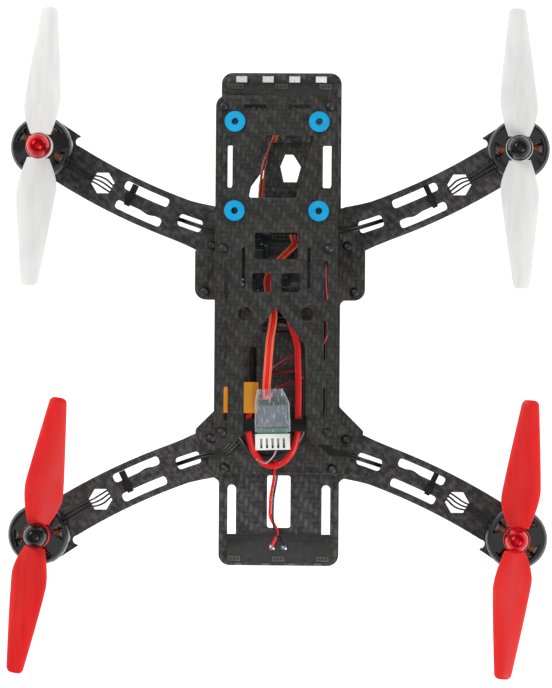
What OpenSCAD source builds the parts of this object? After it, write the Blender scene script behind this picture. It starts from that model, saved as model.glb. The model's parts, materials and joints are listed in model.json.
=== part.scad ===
// Racing quadcopter: a carbon H frame with four curved arms, four motors with propellers,
// light boards, a receiver and a stacked flight controller between its plates.
// Millimetres. +X is right, +Y is the front, +Z is up. The origin is the centre of the four
// motor axes, on the underside of the bottom plate. Left parts are drawn, right ones mirrored.

/* [Layout] */
// Distance between the left and right motor axes
motor_track = 218; // [216:0.5:220]
// Distance between the front and rear motor axes
motor_base = 177; // [175:0.5:179]
// Width of the body plates
body_w = 55.2; // [55:0.2:56]

/* [Plates] */
// Thickness of the bottom plate
bottom_t = 2; // [2:0.1:2.4]
// Thickness of the arms
arm_t = 4; // [4:0.1:4.4]
// Thickness of the mid, top and camera plates
plate_t = 1.5; // [1.2:0.1:1.6]
// Clear height between the mid plate and the top plate
bay_h = 35; // [35:0.5:37]
// Radius of a plate's outer corners
corner_r = 5; // [3:0.5:6]

/* [Arms] */
// Width of an arm
arm_w = 19.5; // [19:0.25:21]
// Radius of the curve that an arm's centre line follows
arm_curve_r = 283; // [281:1:285]

/* [Motors] */
// Radius of the bell
bell_r = 13.95; // [13.9:0.05:14.3]
// Radius of the stator
stator_r = 11; // [10.8:0.05:11]
// Number of stator teeth
tooth_count = 12; // [12]
// Number of magnets in a bell
magnet_count = 14; // [14]

/* [Propellers] */
// Diameter of a propeller
prop_d = 127; // [120:1:128]
// Distance a propeller would travel in one turn
prop_pitch = 70; // [50:5:80]
// Angle at which the front left propeller is parked
park_front_left = -3.5; // [-180:0.5:180]
// Angle at which the front right propeller is parked
park_front_right = 0.8; // [-180:0.5:180]
// Angle at which the rear left propeller is parked
park_rear_left = -9.3; // [-180:0.5:180]
// Angle at which the rear right propeller is parked
park_rear_right = -5; // [-180:0.5:180]

/* [Electronics] */
// Side of the flight controller board
board_w = 36; // [35.5:0.25:36.5]
// Spacing of the flight controller board's holes
stack_pitch = 30.5; // [30.5]
// Thickness of a circuit board
board_t = 1.6; // [1.2:0.1:1.6]
// How far the boot button travels
button_travel = 0.25; // [0.1:0.05:0.3]

/* [Hidden] */

$fn = 48;
gap = 0.02;
eps = 0.5;

// Levels of the frame, from the underside up
arm_z = bottom_t;
mid_z = arm_z + arm_t;
deck_z = mid_z + plate_t;
top_z = deck_z + bay_h;
roof_z = top_z + plate_t;

// Plates
body_x = body_w / 2;
ear_x = 39;
front_y = 123.9;
tail_y = -102.7;
top_front_y = 111;
top_rear_y = -46;
mid_end_y = 66;
mid_rear_y = -60.4;

// Screws are all 3 mm
screw_r = 1.5;
screw_hole_r = 1.6;
head_r = 2.15;
head_h = 1.6;

// Standoffs carry the top plate
standoff_x = 23.8;
standoff_front_y = 106;
standoff_mid_y = 42.2;
standoff_rear_y = -40.5;
standoff_r = 2.5;

// Arms
arm_root_w = 22;
arm_end_x = -19.4;
arm_motor_angle = 235.6;
pad_r = 13.2;
hex_s = 31.3;
hex_r = 5.5;
rib_slot_o = 4.9;
rib_slot_w = 4;
root_slot_w = 5.6;
tie_s = 45.5;
arm_screws_left = [[-31, 44.2], [-24.7, 57.75]];
ear_screw = [-34.4, 23.2];

// Motor heights, counted from the top of the arm
base_h = 2.2;
stator_z = 4.2;
stator_h = 6;
bell_z = 3;
bell_roof_z = 13.2;
bell_roof_h = 2;
prop_seat_z = 18.5;
prop_hub_h = 7;
prop_hub_r = 6.1;
nut_h = 9.5;
shaft_r = 1.5;
thread_r = 2.45;
tube_r = 4.25;
bearing_r = 3;
bearing_h = 2.5;
magnet_t = 1.05;

// Camera plate and its four ball dampers
damper_x = 18.95;
damper_front_y = 99.2;
damper_rear_y = 59.1;
damper_ball_h = 10;
damper_hole_r = 1.5;
damper_neck_r = 3;
camera_z = top_z - damper_ball_h - plate_t;

// Stack of boards
stack_y = 34;
power_z = deck_z + 3.5;
brain_z = power_z + board_t + 8;
brain_top = brain_z + board_t;
button_x = 14.4;
button_y = -6;
front_plug_x = 3.9;
power_top = power_z + board_t;

// Thin wires
lead_r = 0.48;
thick_r = 1.5;

function motor(sx, sy) = [sx * motor_track / 2, sy * motor_base / 2];

// A point on the front left arm: s along the centre line from the motor, o towards the front
function arm_centre() = motor(-1, 1) - arm_curve_r * [cos(arm_motor_angle), sin(arm_motor_angle)];
function arm_turn(s) = arm_motor_angle + s / arm_curve_r * 180 / PI;
function on_arm(s, o) = arm_centre() + (arm_curve_r - o) * [cos(arm_turn(s)), sin(arm_turn(s))];

// An outline whose corners [x, y, r] are rounded with arcs
function unit(v) = v / norm(v);
function corner(a, b, c, r, n = 6) =
    let (p = [b.x, b.y], u = unit([a.x, a.y] - p), w = unit([c.x, c.y] - p))
    let (half = acos(u * w) / 2, m = p + unit(u + w) * r / sin(half))
    let (t1 = p + u * r / tan(half) - m, t2 = p + w * r / tan(half) - m)
    let (a1 = atan2(t1.y, t1.x), d = atan2(t2.y, t2.x) - a1)
    let (turn = d > 180 ? d - 360 : d < -180 ? d + 360 : d)
    [for (i = [0 : n]) m + r * [cos(a1 + turn * i / n), sin(a1 + turn * i / n)]];
function rounded(pts) = [for (i = [0 : len(pts) - 1])
    let (a = pts[(i + len(pts) - 1) % len(pts)], b = pts[i], c = pts[(i + 1) % len(pts)])
    each b[2] > 0 ? corner(a, b, c, b[2]) : [[b.x, b.y]]];
function flipped(pts) = [for (i = [len(pts) - 1 : -1 : 0]) [-pts[i].x, pts[i].y, pts[i][2]]];

// A path whose inner corners are eased over the length t
function eased(p, t, n = 4) = concat([p[0]], [for (i = [1 : len(p) - 2])
    let (a = p[i] + unit(p[i - 1] - p[i]) * min(t, norm(p[i - 1] - p[i]) / 2.1))
    let (b = p[i] + unit(p[i + 1] - p[i]) * min(t, norm(p[i + 1] - p[i]) / 2.1))
    each [for (k = [0 : n]) let (f = k / n)
        a * (1 - f) * (1 - f) + p[i] * 2 * f * (1 - f) + b * f * f]], [p[len(p) - 1]]);
function tangent(p, i) = unit(p[min(i + 1, len(p) - 1)] - p[max(i - 1, 0)]);
function carried(p, i, v) = i >= len(p) ? [] :
    let (t = tangent(p, i), m = unit(v - t * (t * v)))
    concat([m], carried(p, i + 1, m));

// Faces of a closed tube made of rings of points, with outward normals
function tube_faces(rings, sides) = let (last = (rings - 1) * sides) concat(
    [for (i = [0 : rings - 2], k = [0 : sides - 1])
        let (a = i * sides + k, b = i * sides + (k + 1) % sides)
        each [[a, a + sides, b], [b, a + sides, b + sides]]],
    [[for (k = [0 : sides - 1]) k], [for (k = [sides - 1 : -1 : 0]) last + k]]);

// A round wire along a path
module wire(p, r, sides = 8) {
    side = carried(p, 0, abs(tangent(p, 0).z) > 0.9 ? [1, 0, 0] : [0, 0, 1]);
    points = [for (i = [0 : len(p) - 1], k = [0 : sides - 1])
        let (w = cross(tangent(p, i), side[i]), a = 360 * k / sides)
        p[i] + r * (cos(a) * side[i] + sin(a) * w)];
    polyhedron(points, tube_faces(len(p), sides));
}

module plate(pts, z, t) {
    translate([0, 0, z]) linear_extrude(t) polygon(rounded(pts));
}

// A slot with round ends, cut through a plate at height z; l is its end-to-end length
module slot(x, y, l, w, z, t, along = 90) {
    translate([x, y, z - eps]) rotate(along) {
        translate([w / 2 - l / 2, -w / 2, 0]) cube([l - w, w, t + 2 * eps]);
        for (s = [-1, 1]) translate([s * (l - w) / 2, 0, 0]) cylinder(h = t + 2 * eps, d = w);
    }
}

module window(x, y, w, l, r, z, t) {
    plate([[x - w / 2, y - l / 2, r], [x + w / 2, y - l / 2, r],
        [x + w / 2, y + l / 2, r], [x - w / 2, y + l / 2, r]], z - eps, t + 2 * eps);
}

module holes(places, r, z, t) {
    for (p = places) translate([p.x, p.y, z - eps]) cylinder(h = t + 2 * eps, r = r);
}

module both_sides() {
    children();
    mirror([1, 0, 0]) children();
}

module all_corners() {
    both_sides() {
        children();
        mirror([0, 1, 0]) children();
    }
}

function stack_points() = [for (x = [-1, 1], y = [-1, 1])
    [x * stack_pitch / 2, stack_y + y * stack_pitch / 2]];
function standoff_points() = [for (x = [-1, 1], y = [standoff_front_y, standoff_mid_y,
    standoff_rear_y]) [x * standoff_x, y]];
function damper_points() = [for (x = [-1, 1], y = [damper_front_y, damper_rear_y])
    [x * damper_x, y]];
function arm_screw_points() = [for (sx = [-1, 1], sy = [-1, 1], p = arm_screws_left)
    [-sx * p.x, sy * p.y]];
function ear_points() = [for (sx = [-1, 1]) [-sx * ear_screw.x, ear_screw.y]];

// ---- carbon plates ----

bottom_side = [[body_x, front_y, corner_r], [body_x, 61.5, 1], [33.5, 60, 2], [35.2, 50, 3],
    [ear_x, 42, 2], [ear_x, 19.4, 5], [body_x, 19.4, 2.5], [body_x, -29.5, 2],
    [ear_x, -40.9, 2], [35.2, -50, 3], [33.5, -60, 2], [body_x, -64, 2],
    [body_x, tail_y, corner_r]];

module bottom_plate() {
    color([0.17, 0.17, 0.18])
    difference() {
        plate(concat(bottom_side, flipped(bottom_side)), 0, bottom_t);
        holes(arm_screw_points(), screw_r + gap, 0, bottom_t);
        holes(ear_points(), screw_r + gap, 0, bottom_t);
        for (p = standoff_points()) translate([p.x, p.y, 0]) countersink();
        for (x = [-21.7, 21.7]) {
            slot(x, -79.3, 27.4, 4, 0, bottom_t);
            window(x + (x > 0 ? 0.25 : -0.25), 80.8, 5.5, 19.4, 0.8, 0, bottom_t);
        }
        window(0, -73.3, 10.8, 24.1, 1.2, 0, bottom_t);
        for (y = [-24, 22]) window(0, y, 12, 10, 2, 0, bottom_t);
        plate([[1.3, 73.3, 0.8], [9.3, 73.3, 0.8], [11.6, 80.6, 0.8], [8, 87.2, 0.8],
            [2.2, 87.2, 0.8], [-0.4, 81, 0.8]], -eps, bottom_t + 2 * eps);
        plate([[-16, 66.4, 0.5], [-10.3, 66.4, 0.5], [-10.3, 72.6, 0.8], [-7.6, 76.6, 0.8],
            [-7.6, 80.2, 0.5], [-14.4, 70.9, 0.8], [-16, 70.9, 0.5]], -eps,
            bottom_t + 2 * eps);
    }
}

mid_side = [[body_x - 0.2, mid_end_y, 3], [body_x - 0.2, 61, 1], [32.5, 59, 2], [34, 50, 3],
    [ear_x, 41.5, 2], [ear_x, 19.4, 5], [body_x, 19.4, 2.5], [body_x, -29.5, 2],
    [ear_x - 0.4, -40.4, 2], [34, -50, 3], [30.5, mid_rear_y, 3]];

module mid_plate() {
    color([0.16, 0.16, 0.17])
    difference() {
        plate(concat(mid_side, flipped(mid_side)), mid_z, plate_t);
        holes(concat(arm_screw_points(), ear_points(), stack_points()), screw_hole_r, mid_z,
            plate_t);
        holes([for (p = standoff_points()) if (p.y < mid_end_y) p], screw_hole_r, mid_z,
            plate_t);
        for (x = [-12, 12]) slot(x, -22, 40, 3.2, mid_z, plate_t);
    }
}

fork_x = 14.25;
fork_y = -2.6;
fork_apex_y = 15.9;
top_side = [[body_x, top_front_y, corner_r], [body_x, top_rear_y, 3], [19.1, -45.6, 1.2],
    [fork_x, -41.6, 1.2], [fork_x, fork_y, 1]];

module top_plate() {
    color([0.2, 0.2, 0.21])
    difference() {
        plate(concat(top_side, [[0, fork_apex_y, 0.8]], flipped(top_side)), top_z, plate_t);
        holes(standoff_points(), screw_hole_r, top_z, plate_t);
        holes(damper_points(), damper_neck_r + gap, top_z, plate_t);
        holes([[-13.9, 12.8], [13.9, 12.8]], 3.05, top_z, plate_t);
        for (x = [-1, 1]) {
            window(x * 9.9, 105.4, 10.2, 2.9, 0.4, top_z, plate_t);
            slot(x * 22.25, 81.35, 25.3, 4.5, top_z, plate_t);
            window(x * 6.55, 26.9, 8.4, 8.4, 1.2, top_z, plate_t);
            slot(x * 14.7, 33.6, 18.3, 1.45, top_z, plate_t);
            slot(x * 22.35, 27.9, 17.7, 1.9, top_z, plate_t);
            slot(x * 22.35, 1.1, 17.7, 1.9, top_z, plate_t);
            slot(x * 22.35, -27.7, 15.4, 1.9, top_z, plate_t);
        }
        window(0, 43.4, 19.3, 11.8, 1, top_z, plate_t);
        plate([[-6.5, 93.2, 1], [16.6, 93.2, 1], [8.6, 65, 1], [-12.7, 65, 1]],
            top_z - eps, plate_t + 2 * eps);
    }
}

module camera_plate() {
    rail_x = 23.4;
    waist_x = 18.3;
    side = [[rail_x, 103.8, 4.4], [rail_x, 94.4, 1.5], [waist_x, 92.6, 1.5],
        [waist_x, 67, 1.5], [rail_x, 64, 1.5], [rail_x, 54.5, 4.4]];
    color([0.18, 0.18, 0.19])
    difference() {
        plate(concat(side, flipped(side)), camera_z, plate_t);
        holes(damper_points(), damper_neck_r + gap, camera_z, plate_t);
        plate([[-14.6, 64.6, 1], [14.6, 64.6, 1], [14.6, 70.1, 1], [-5.7, 70.1, 1],
            [-5.7, 79, 2], [-3.2, 90.3, 1], [14.6, 90.3, 1], [14.6, 94.6, 1],
            [-14.6, 94.6, 1]], camera_z - eps, plate_t + 2 * eps);
        plate([[1.9, 72.5, 0.6], [8.5, 72.5, 0.6], [10.3, 79.4, 0.6], [6.8, 84.9, 0.6],
            [1.9, 84.9, 0.6], [0.3, 80.5, 0.6]], camera_z - eps, plate_t + 2 * eps);
    }
}

// ---- hardware of the frame ----

module countersink() {
    translate([0, 0, -eps]) cylinder(h = bottom_t + 2 * eps, r = screw_hole_r);
    translate([0, 0, -gap]) cylinder(h = 1.3 + gap, r1 = 2.9, r2 = screw_hole_r);
}

// A ball damper: a soft ball between two flanges, with a hole right through it
module damper() {
    flange_r = 4.65;
    flange_t = 1.2;
    ball_r = 5.4;
    ball_mid = (top_z + camera_z + plate_t) / 2;
    ball_cut = damper_ball_h / 2;
    low = camera_z - flange_t;
    difference() {
        union() {
            translate([0, 0, low]) cylinder(h = flange_t, r = flange_r);
            translate([0, 0, low]) cylinder(h = roof_z - low, r = damper_neck_r);
            translate([0, 0, roof_z]) cylinder(h = flange_t, r = flange_r);
            translate([0, 0, ball_mid]) rotate_extrude() intersection() {
                circle(r = ball_r);
                translate([0, -ball_cut]) square([ball_r, 2 * ball_cut]);
            }
        }
        translate([0, 0, low - eps])
            cylinder(h = roof_z - low + flange_t + 2 * eps, r = damper_hole_r);
    }
}

module vibration_dampers() {
    color([0.1, 0.6, 0.88])
    for (p = damper_points()) translate([p.x, p.y, 0]) damper();
}

module standoffs() {
    color([0.12, 0.12, 0.13])
    for (p = standoff_points()) {
        foot = p.y > mid_end_y ? arm_z : deck_z;
        translate([p.x, p.y, foot]) difference() {
            cylinder(h = top_z - foot, r = standoff_r);
            translate([0, 0, -eps]) cylinder(h = top_z - foot + 2 * eps, r = screw_r + gap);
        }
    }
}

module tube(r, bore, h) {
    difference() {
        cylinder(h = h, r = r);
        translate([0, 0, -eps]) cylinder(h = h + 2 * eps, r = bore);
    }
}

module ear_spacers() {
    color([0.75, 0.76, 0.78])
    for (p = ear_points()) translate([p.x, p.y, arm_z]) tube(3, screw_hole_r, arm_t);
}

// A button-head screw whose head sits on z = 0 and whose shank points down
module button_screw(l) {
    difference() {
        rotate_extrude() polygon([[0, -l], [screw_r - 0.3, -l], [screw_r, -l + 0.3],
            [screw_r, 0], [head_r, 0], [head_r, 0.5], [head_r - 0.5, 1.2],
            [head_r - 1, head_h], [0, head_h]]);
        translate([0, 0, head_h - 1]) cylinder(h = 1 + eps, r = 1.15, $fn = 6);
    }
}

module top_plate_screws() {
    color([0.1, 0.1, 0.11])
    for (p = standoff_points()) translate([p.x, p.y, roof_z]) button_screw(8);
}

module arm_screws() {
    color([0.1, 0.1, 0.11])
    for (p = concat(arm_screw_points(), ear_points()))
        translate([p.x, p.y, deck_z]) button_screw(deck_z - 0.2);
}

// Flush countersunk screws under the standoffs
module belly_screws() {
    reach = 5;
    color([0.1, 0.1, 0.11])
    for (p = standoff_points()) {
        foot = p.y > mid_end_y ? arm_z : deck_z;
        translate([p.x, p.y, 0]) difference() {
            rotate_extrude() polygon([[0, 0], [2.75, 0], [screw_r, 1.25],
                [screw_r, foot + reach], [0, foot + reach]]);
            translate([0, 0, -eps]) cylinder(h = 0.8 + eps, r = 1, $fn = 6);
        }
    }
}

// ---- arms ----

// Half the arm's width at station s: it swells towards the root
function arm_half(s) = arm_w / 2 + (arm_root_w - arm_w) / 2 * max(0, min(1, (s - 74) / 10));
// Station at which the arm's curve, shifted by o, crosses the plane at x
function station_at(x, o) = (360 - acos((x - arm_centre().x) / (arm_curve_r - o))
    - arm_motor_angle) * PI / 180 * arm_curve_r;
function arm_edge(s1, s2, side, n) = [for (i = [0 : n]) let (s = s1 + (s2 - s1) * i / n)
    on_arm(s, side * arm_half(s))];
// An arc drawn in the arm's own (s, o) coordinates
function arm_arc(s, o, r, a1, a2, n) = [for (i = [0 : n]) let (a = a1 + (a2 - a1) * i / n)
    on_arm(s + r * cos(a), o + r * sin(a))];

// Motor pad, lower edge, cut-off root, upper edge, then the hooked fin beside the motor
function arm_outline() = let (fin_o = 14, root_o = arm_root_w / 2, lower = -arm_w / 2)
    concat(arm_arc(0, 0, pad_r, 104, 360 + asin(lower / pad_r), 16),
    arm_edge(14, station_at(arm_end_x, -root_o), -1, 14),
    arm_edge(station_at(arm_end_x, root_o), 14, 1, 14),
    arm_arc(12.1, 11.6, 2.1, -62, -241, 6),
    [on_arm(11, fin_o), on_arm(-3.4, fin_o)]);

// Opening that follows the arm's curve, with rounded corners
function arm_opening(s1, s2, o, w, r) = let (h = w / 2, n = 4, d = (s2 - s1) / n)
    [for (q = rounded(concat([[s1, o - h, r]], [for (i = [1 : n - 1]) [s1 + i * d, o - h, 0]],
        [[s2, o - h, r], [s2, o + h, r]], [for (i = [n - 1 : -1 : 1]) [s1 + i * d, o + h, 0]],
        [[s1, o + h, r]]))) on_arm(q.x, q.y)];

module through_arm(points) {
    translate([0, 0, arm_z - eps]) linear_extrude(arm_t + 2 * eps) polygon(points);
}

// The front left arm; the others are its mirror images
module arm(standoff_y) {
    m = motor(-1, 1);
    hex_at = on_arm(hex_s, 0.6);
    difference() {
        translate([0, 0, arm_z]) linear_extrude(arm_t) polygon(arm_outline());
        translate([hex_at.x, hex_at.y, arm_z - eps])
            cylinder(h = arm_t + 2 * eps, r = hex_r, $fn = 6);
        for (o = [-rib_slot_o, rib_slot_o])
            through_arm(arm_opening(40.7, 63.2, o, rib_slot_w, 1.4));
        through_arm(arm_opening(70, 81.4, 0, root_slot_w, 1.5));
        holes(arm_screws_left, screw_hole_r, arm_z, arm_t);
        holes([[-standoff_x, standoff_y]], screw_hole_r, arm_z, arm_t);
        holes([m], 3.2, arm_z, arm_t);
        holes([for (p = motor_screw_points()) m + p], screw_hole_r, arm_z, arm_t);
    }
}

module arm_at(sx, sy, standoff_y) {
    color([0.17, 0.17, 0.18])
    mirror([sx > 0 ? 1 : 0, 0, 0]) mirror([0, sy < 0 ? 1 : 0, 0]) arm(standoff_y);
}

module arm_front_left() { arm_at(-1, 1, standoff_mid_y); }
module arm_front_right() { arm_at(1, 1, standoff_mid_y); }
module arm_rear_left() { arm_at(-1, -1, -standoff_rear_y); }
module arm_rear_right() { arm_at(1, -1, -standoff_rear_y); }

// ---- fixed parts of the motors ----

// Two pairs of screws, 19 mm and 16 mm apart, turned 45 degrees from the body
function motor_screw_points() = [for (k = [0 : 3])
    (k % 2 == 0 ? 9.5 : 8) * [cos(45 + 90 * k), sin(45 + 90 * k)]];

// Children are drawn on top of every arm, in place of a motor
module at_motors() {
    all_corners() translate([motor(-1, 1).x, motor(-1, 1).y, mid_z]) children();
}

module motor_bases() {
    color([0.14, 0.14, 0.15])
    at_motors() difference() {
        union() {
            cylinder(h = base_h, r = 7.6);
            for (k = [0 : 3]) rotate(45 + 90 * k) {
                translate([0, -2.6, 0]) cube([9.8, 5.2, base_h]);
                translate([9.8, 0, 0]) cylinder(h = base_h, r = 2.6);
            }
            cylinder(h = 12, r = tube_r);
            translate([0, 0, base_h]) cylinder(h = stator_z - base_h, r = 5.4);
        }
        translate([0, 0, -eps]) cylinder(h = 12 + 2 * eps, r = bearing_r + gap);
        for (p = motor_screw_points())
            translate([p.x, p.y, -eps]) cylinder(h = base_h + 2 * eps, r = screw_r + gap);
    }
}

stem_w = 2.2;

// One tooth of the core, from the ring out to its curved shoe and back
function tooth(turn) = let (ring_r = 5.9, shoe_r = 9.9, h = stem_w / 2, half = 11.4)
    [for (q = concat([[ring_r, -h], [shoe_r, -h], shoe_r * [cos(half), -sin(half)]],
        [for (a = [-half : half / 2 : half]) stator_r * [cos(a), sin(a)]],
        [shoe_r * [cos(half), sin(half)], [shoe_r, h], [ring_r, h]]))
        [q.x * cos(turn) - q.y * sin(turn), q.x * sin(turn) + q.y * cos(turn)]];

// Laminated core: a ring with a tooth for every coil
module stator_cores() {
    color([0.35, 0.36, 0.38])
    at_motors() translate([0, 0, stator_z]) difference() {
        linear_extrude(stator_h) polygon([for (k = [0 : tooth_count - 1])
            each tooth(360 * k / tooth_count)]);
        translate([0, 0, -eps]) cylinder(h = stator_h + 2 * eps, r = tube_r + gap);
    }
}

// Copper coils, one round the stem of every tooth
module windings() {
    r1 = 6.1;
    r2 = 9.7;
    w1 = 2.95;
    w2 = 4.7;
    overhang = 1;
    color([0.75, 0.42, 0.2])
    at_motors() for (k = [0 : tooth_count - 1]) rotate(360 * k / tooth_count)
        difference() {
            translate([0, 0, stator_z - overhang]) linear_extrude(stator_h + 2 * overhang)
                polygon([[r1, -w1 / 2], [r2, -w2 / 2], [r2, w2 / 2], [r1, w1 / 2]]);
            translate([0, -stem_w / 2 - gap, stator_z - gap])
                cube([stator_r, stem_w + 2 * gap, stator_h + 2 * gap]);
        }
}

module bearings() {
    color([0.8, 0.8, 0.82])
    at_motors() for (z = [0.3, 12 - bearing_h])
        translate([0, 0, z]) tube(bearing_r, shaft_r + 0.03, bearing_h);
}

module motor_screws() {
    color([0.1, 0.1, 0.11])
    all_corners() for (p = motor_screw_points())
        translate([motor(-1, 1).x + p.x, motor(-1, 1).y + p.y, arm_z])
            rotate([180, 0, 0]) button_screw(arm_t + 2);
}

// ---- turning parts of the motors ----

module at_motor(sx, sy) {
    translate([motor(sx, sy).x, motor(sx, sy).y, mid_z]) children();
}

spoke_count = 4;
spoke_w = 8.4;

// The bell: a steel ring under a cap with windows between its spokes
module bell() {
    wall = 1.35;
    window_in = 5.6;
    window_out = 11.1;
    boss_r = 4.6;
    difference() {
        rotate_extrude() polygon([[0, bell_roof_z], [bell_r - wall, bell_roof_z],
            [bell_r - wall, bell_z], [bell_r, bell_z], [bell_r, bell_roof_z],
            [bell_r - 1.2, bell_roof_z + bell_roof_h], [boss_r + 0.8, bell_roof_z + bell_roof_h],
            [boss_r, bell_roof_z + bell_roof_h + 0.8], [boss_r, prop_seat_z],
            [0, prop_seat_z]]);
        translate([0, 0, bell_roof_z - eps]) cylinder(h = 10, r = shaft_r + gap);
        difference() {
            translate([0, 0, bell_roof_z - eps]) cylinder(h = bell_roof_h + 2 * eps,
                r = window_out);
            translate([0, 0, bell_roof_z - 2 * eps]) cylinder(h = 5, r = window_in);
            for (k = [0 : spoke_count - 1]) rotate(360 * k / spoke_count)
                translate([0, -spoke_w / 2, bell_roof_z - 2 * eps]) cube([bell_r, spoke_w, 5]);
        }
    }
}

// turn is the angle at which each bell came to rest
module bell_at(sx, sy, turn) {
    color([0.08, 0.08, 0.09]) at_motor(sx, sy) rotate(turn) bell();
}

module bell_front_left() { bell_at(-1, 1, 15); }
module bell_front_right() { bell_at(1, 1, 50); }
module bell_rear_left() { bell_at(-1, -1, 55); }
module bell_rear_right() { bell_at(1, -1, 9); }

module magnets_at(sx, sy) {
    magnet_w = 4.5;
    color([0.6, 0.61, 0.64])
    at_motor(sx, sy) for (k = [0 : magnet_count - 1]) rotate(360 * k / magnet_count)
        translate([stator_r + 0.3, -magnet_w / 2, bell_z + 0.6])
            cube([magnet_t, magnet_w, bell_roof_z - bell_z - 1.2]);
}

module magnets_front_left() { magnets_at(-1, 1); }
module magnets_front_right() { magnets_at(1, 1); }
module magnets_rear_left() { magnets_at(-1, -1); }
module magnets_rear_right() { magnets_at(1, -1); }

thread_top = prop_seat_z + prop_hub_h + 7;

module shaft_at(sx, sy) {
    color([0.72, 0.73, 0.75])
    at_motor(sx, sy) rotate_extrude() polygon([[0, 0.2], [shaft_r, 0.2],
        [shaft_r, prop_seat_z], [thread_r, prop_seat_z], [thread_r, thread_top - 0.6],
        [thread_r - 0.6, thread_top], [0, thread_top]]);
}

module shaft_front_left() { shaft_at(-1, 1); }
module shaft_front_right() { shaft_at(1, 1); }
module shaft_rear_left() { shaft_at(-1, -1); }
module shaft_rear_right() { shaft_at(1, -1); }

// Distance from the blade's axis to one of its edges, seen from above, at radius r. The blade
// swells from its root to its widest place, then runs nearly straight to a squared tip.
tip_r = prop_d / 2;
tip_round = 2.2;
function edge_offset(r, root, widest, widest_r, tip) =
    let (out = (r - widest_r) / (tip_r - widest_r))
    r < widest_r ? root + (widest - root) * sin(90 * (r - prop_hub_r) / (widest_r - prop_hub_r))
        : widest + (tip - widest) * pow(out, 1.12);
function rounding(r) = r <= tip_r - tip_round ? 0 :
    tip_round - sqrt(max(0, pow(tip_round, 2) - pow(r - tip_r + tip_round, 2)));
function lead_x(r) = edge_offset(r, 5.2, 8.7, 23, 4.2) - rounding(r);
function trail_x(r) = -edge_offset(r, 5, 8.7, 19, 3.2) + rounding(r);
function pitch_slope(r) = min(tan(23), prop_pitch / (2 * PI * r));
function blade_t(r) = 1.7 - 0.9 * r / tip_r;

// One closed ring of points round a blade at radius r, running over the top and back below
function blade_ring(r) =
    let (n = 5, slope = pitch_slope(r), x1 = trail_x(r), x2 = lead_x(r), t = blade_t(r))
    [for (side = [1, -1], k = [0 : n])
        let (f = side > 0 ? k / n : 1 - k / n, x = x1 + (x2 - x1) * f)
        if (side > 0 || (k > 0 && k < n))
            [x, r, x * slope + t * (side > 0 ? 0.9 : -0.1) * sin(180 * f) + 0.15 * side * t]];
blade_stations = [5.4, 7, 9, 12, 16, 20, 25, 31, 38, 46, 54, tip_r - 2.2, tip_r - 0.9, tip_r];

module blade() {
    rings = [for (r = blade_stations) blade_ring(r)];
    polyhedron([for (g = rings) each g], tube_faces(len(rings), len(rings[0])));
}

module propeller(park, spin) {
    mid = prop_seat_z + prop_hub_h / 2;
    rotate(park) mirror([spin > 0 ? 0 : 1, 0, 0]) difference() {
        union() {
            translate([0, 0, prop_seat_z]) cylinder(h = prop_hub_h, r = prop_hub_r);
            for (a = [0, 180]) rotate(a) translate([0, 0, mid - 0.4]) blade();
        }
        translate([0, 0, prop_seat_z - eps]) cylinder(h = prop_hub_h + 2 * eps, r = 2.5);
    }
}

module propeller_front_left() {
    color([0.93, 0.93, 0.93]) at_motor(-1, 1) propeller(park_front_left, 1);
}
module propeller_front_right() {
    color([0.93, 0.93, 0.93]) at_motor(1, 1) propeller(park_front_right, -1);
}
module propeller_rear_left() {
    color([0.88, 0.1, 0.14]) at_motor(-1, -1) propeller(park_rear_left, -1);
}
module propeller_rear_right() {
    color([0.88, 0.1, 0.14]) at_motor(1, -1) propeller(park_rear_right, 1);
}

// A domed nut with a hole across it for a tightening pin
module prop_nut() {
    seat = prop_seat_z + prop_hub_h;
    flange_r = 5.85;
    dome_z = seat + 2.2;
    difference() {
        union() {
            translate([0, 0, seat]) cylinder(h = 1.4, r = flange_r);
            translate([0, 0, seat + 1.4]) rotate_extrude() polygon(concat([[0, 0]],
                [for (a = [0 : 9 : 72]) [5.5 * cos(a), (nut_h - 1.4) * sin(a) / sin(72)]],
                [[0, nut_h - 1.4]]));
        }
        translate([0, 0, seat - eps]) cylinder(h = 7.4 + eps, r = 2.5);
        translate([0, 0, dome_z + 1.6]) rotate([90, 0, 0]) cylinder(h = 20, r = 0.9,
            center = true);
    }
}

module prop_nut_front_left() {
    color([0.75, 0.05, 0.1]) at_motor(-1, 1) rotate(park_front_left) prop_nut();
}
module prop_nut_front_right() {
    color([0.07, 0.07, 0.08]) at_motor(1, 1) rotate(park_front_right) prop_nut();
}
module prop_nut_rear_left() {
    color([0.07, 0.07, 0.08]) at_motor(-1, -1) rotate(park_rear_left) prop_nut();
}
module prop_nut_rear_right() {
    color([0.75, 0.05, 0.1]) at_motor(1, -1) rotate(park_rear_right) prop_nut();
}

// ---- light boards ----

light_w = 48;
light_t = 1.2;
led_pitch = 12.2;
// Middle and depth of the front and of the rear board
light_front = [114.55, 11.9];
light_rear = [-94.9, 13.4];

// Board with three low sockets near its outer edge for chaining further lights
module light_board(end, socket_y) {
    socket_w = 5.8;
    socket_d = 2.4;
    window(0, end[0], light_w, end[1], 0.8, arm_z + eps, light_t - 2 * eps);
    for (x = [-20.3, 0, 20.3])
        translate([x - socket_w / 2, socket_y - socket_d / 2, arm_z + light_t - 0.2])
            difference() {
                cube([socket_w, socket_d, 1.6]);
                for (k = [0 : 2]) translate([0.8 + 1.6 * k, 0.7, 0.8]) cube([1, 1, 2]);
            }
}

module front_light_board() {
    color([0.05, 0.05, 0.06]) light_board(light_front, 117.5);
}

module rear_light_board() {
    color([0.05, 0.05, 0.06]) light_board(light_rear, -99.4);
}

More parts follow.
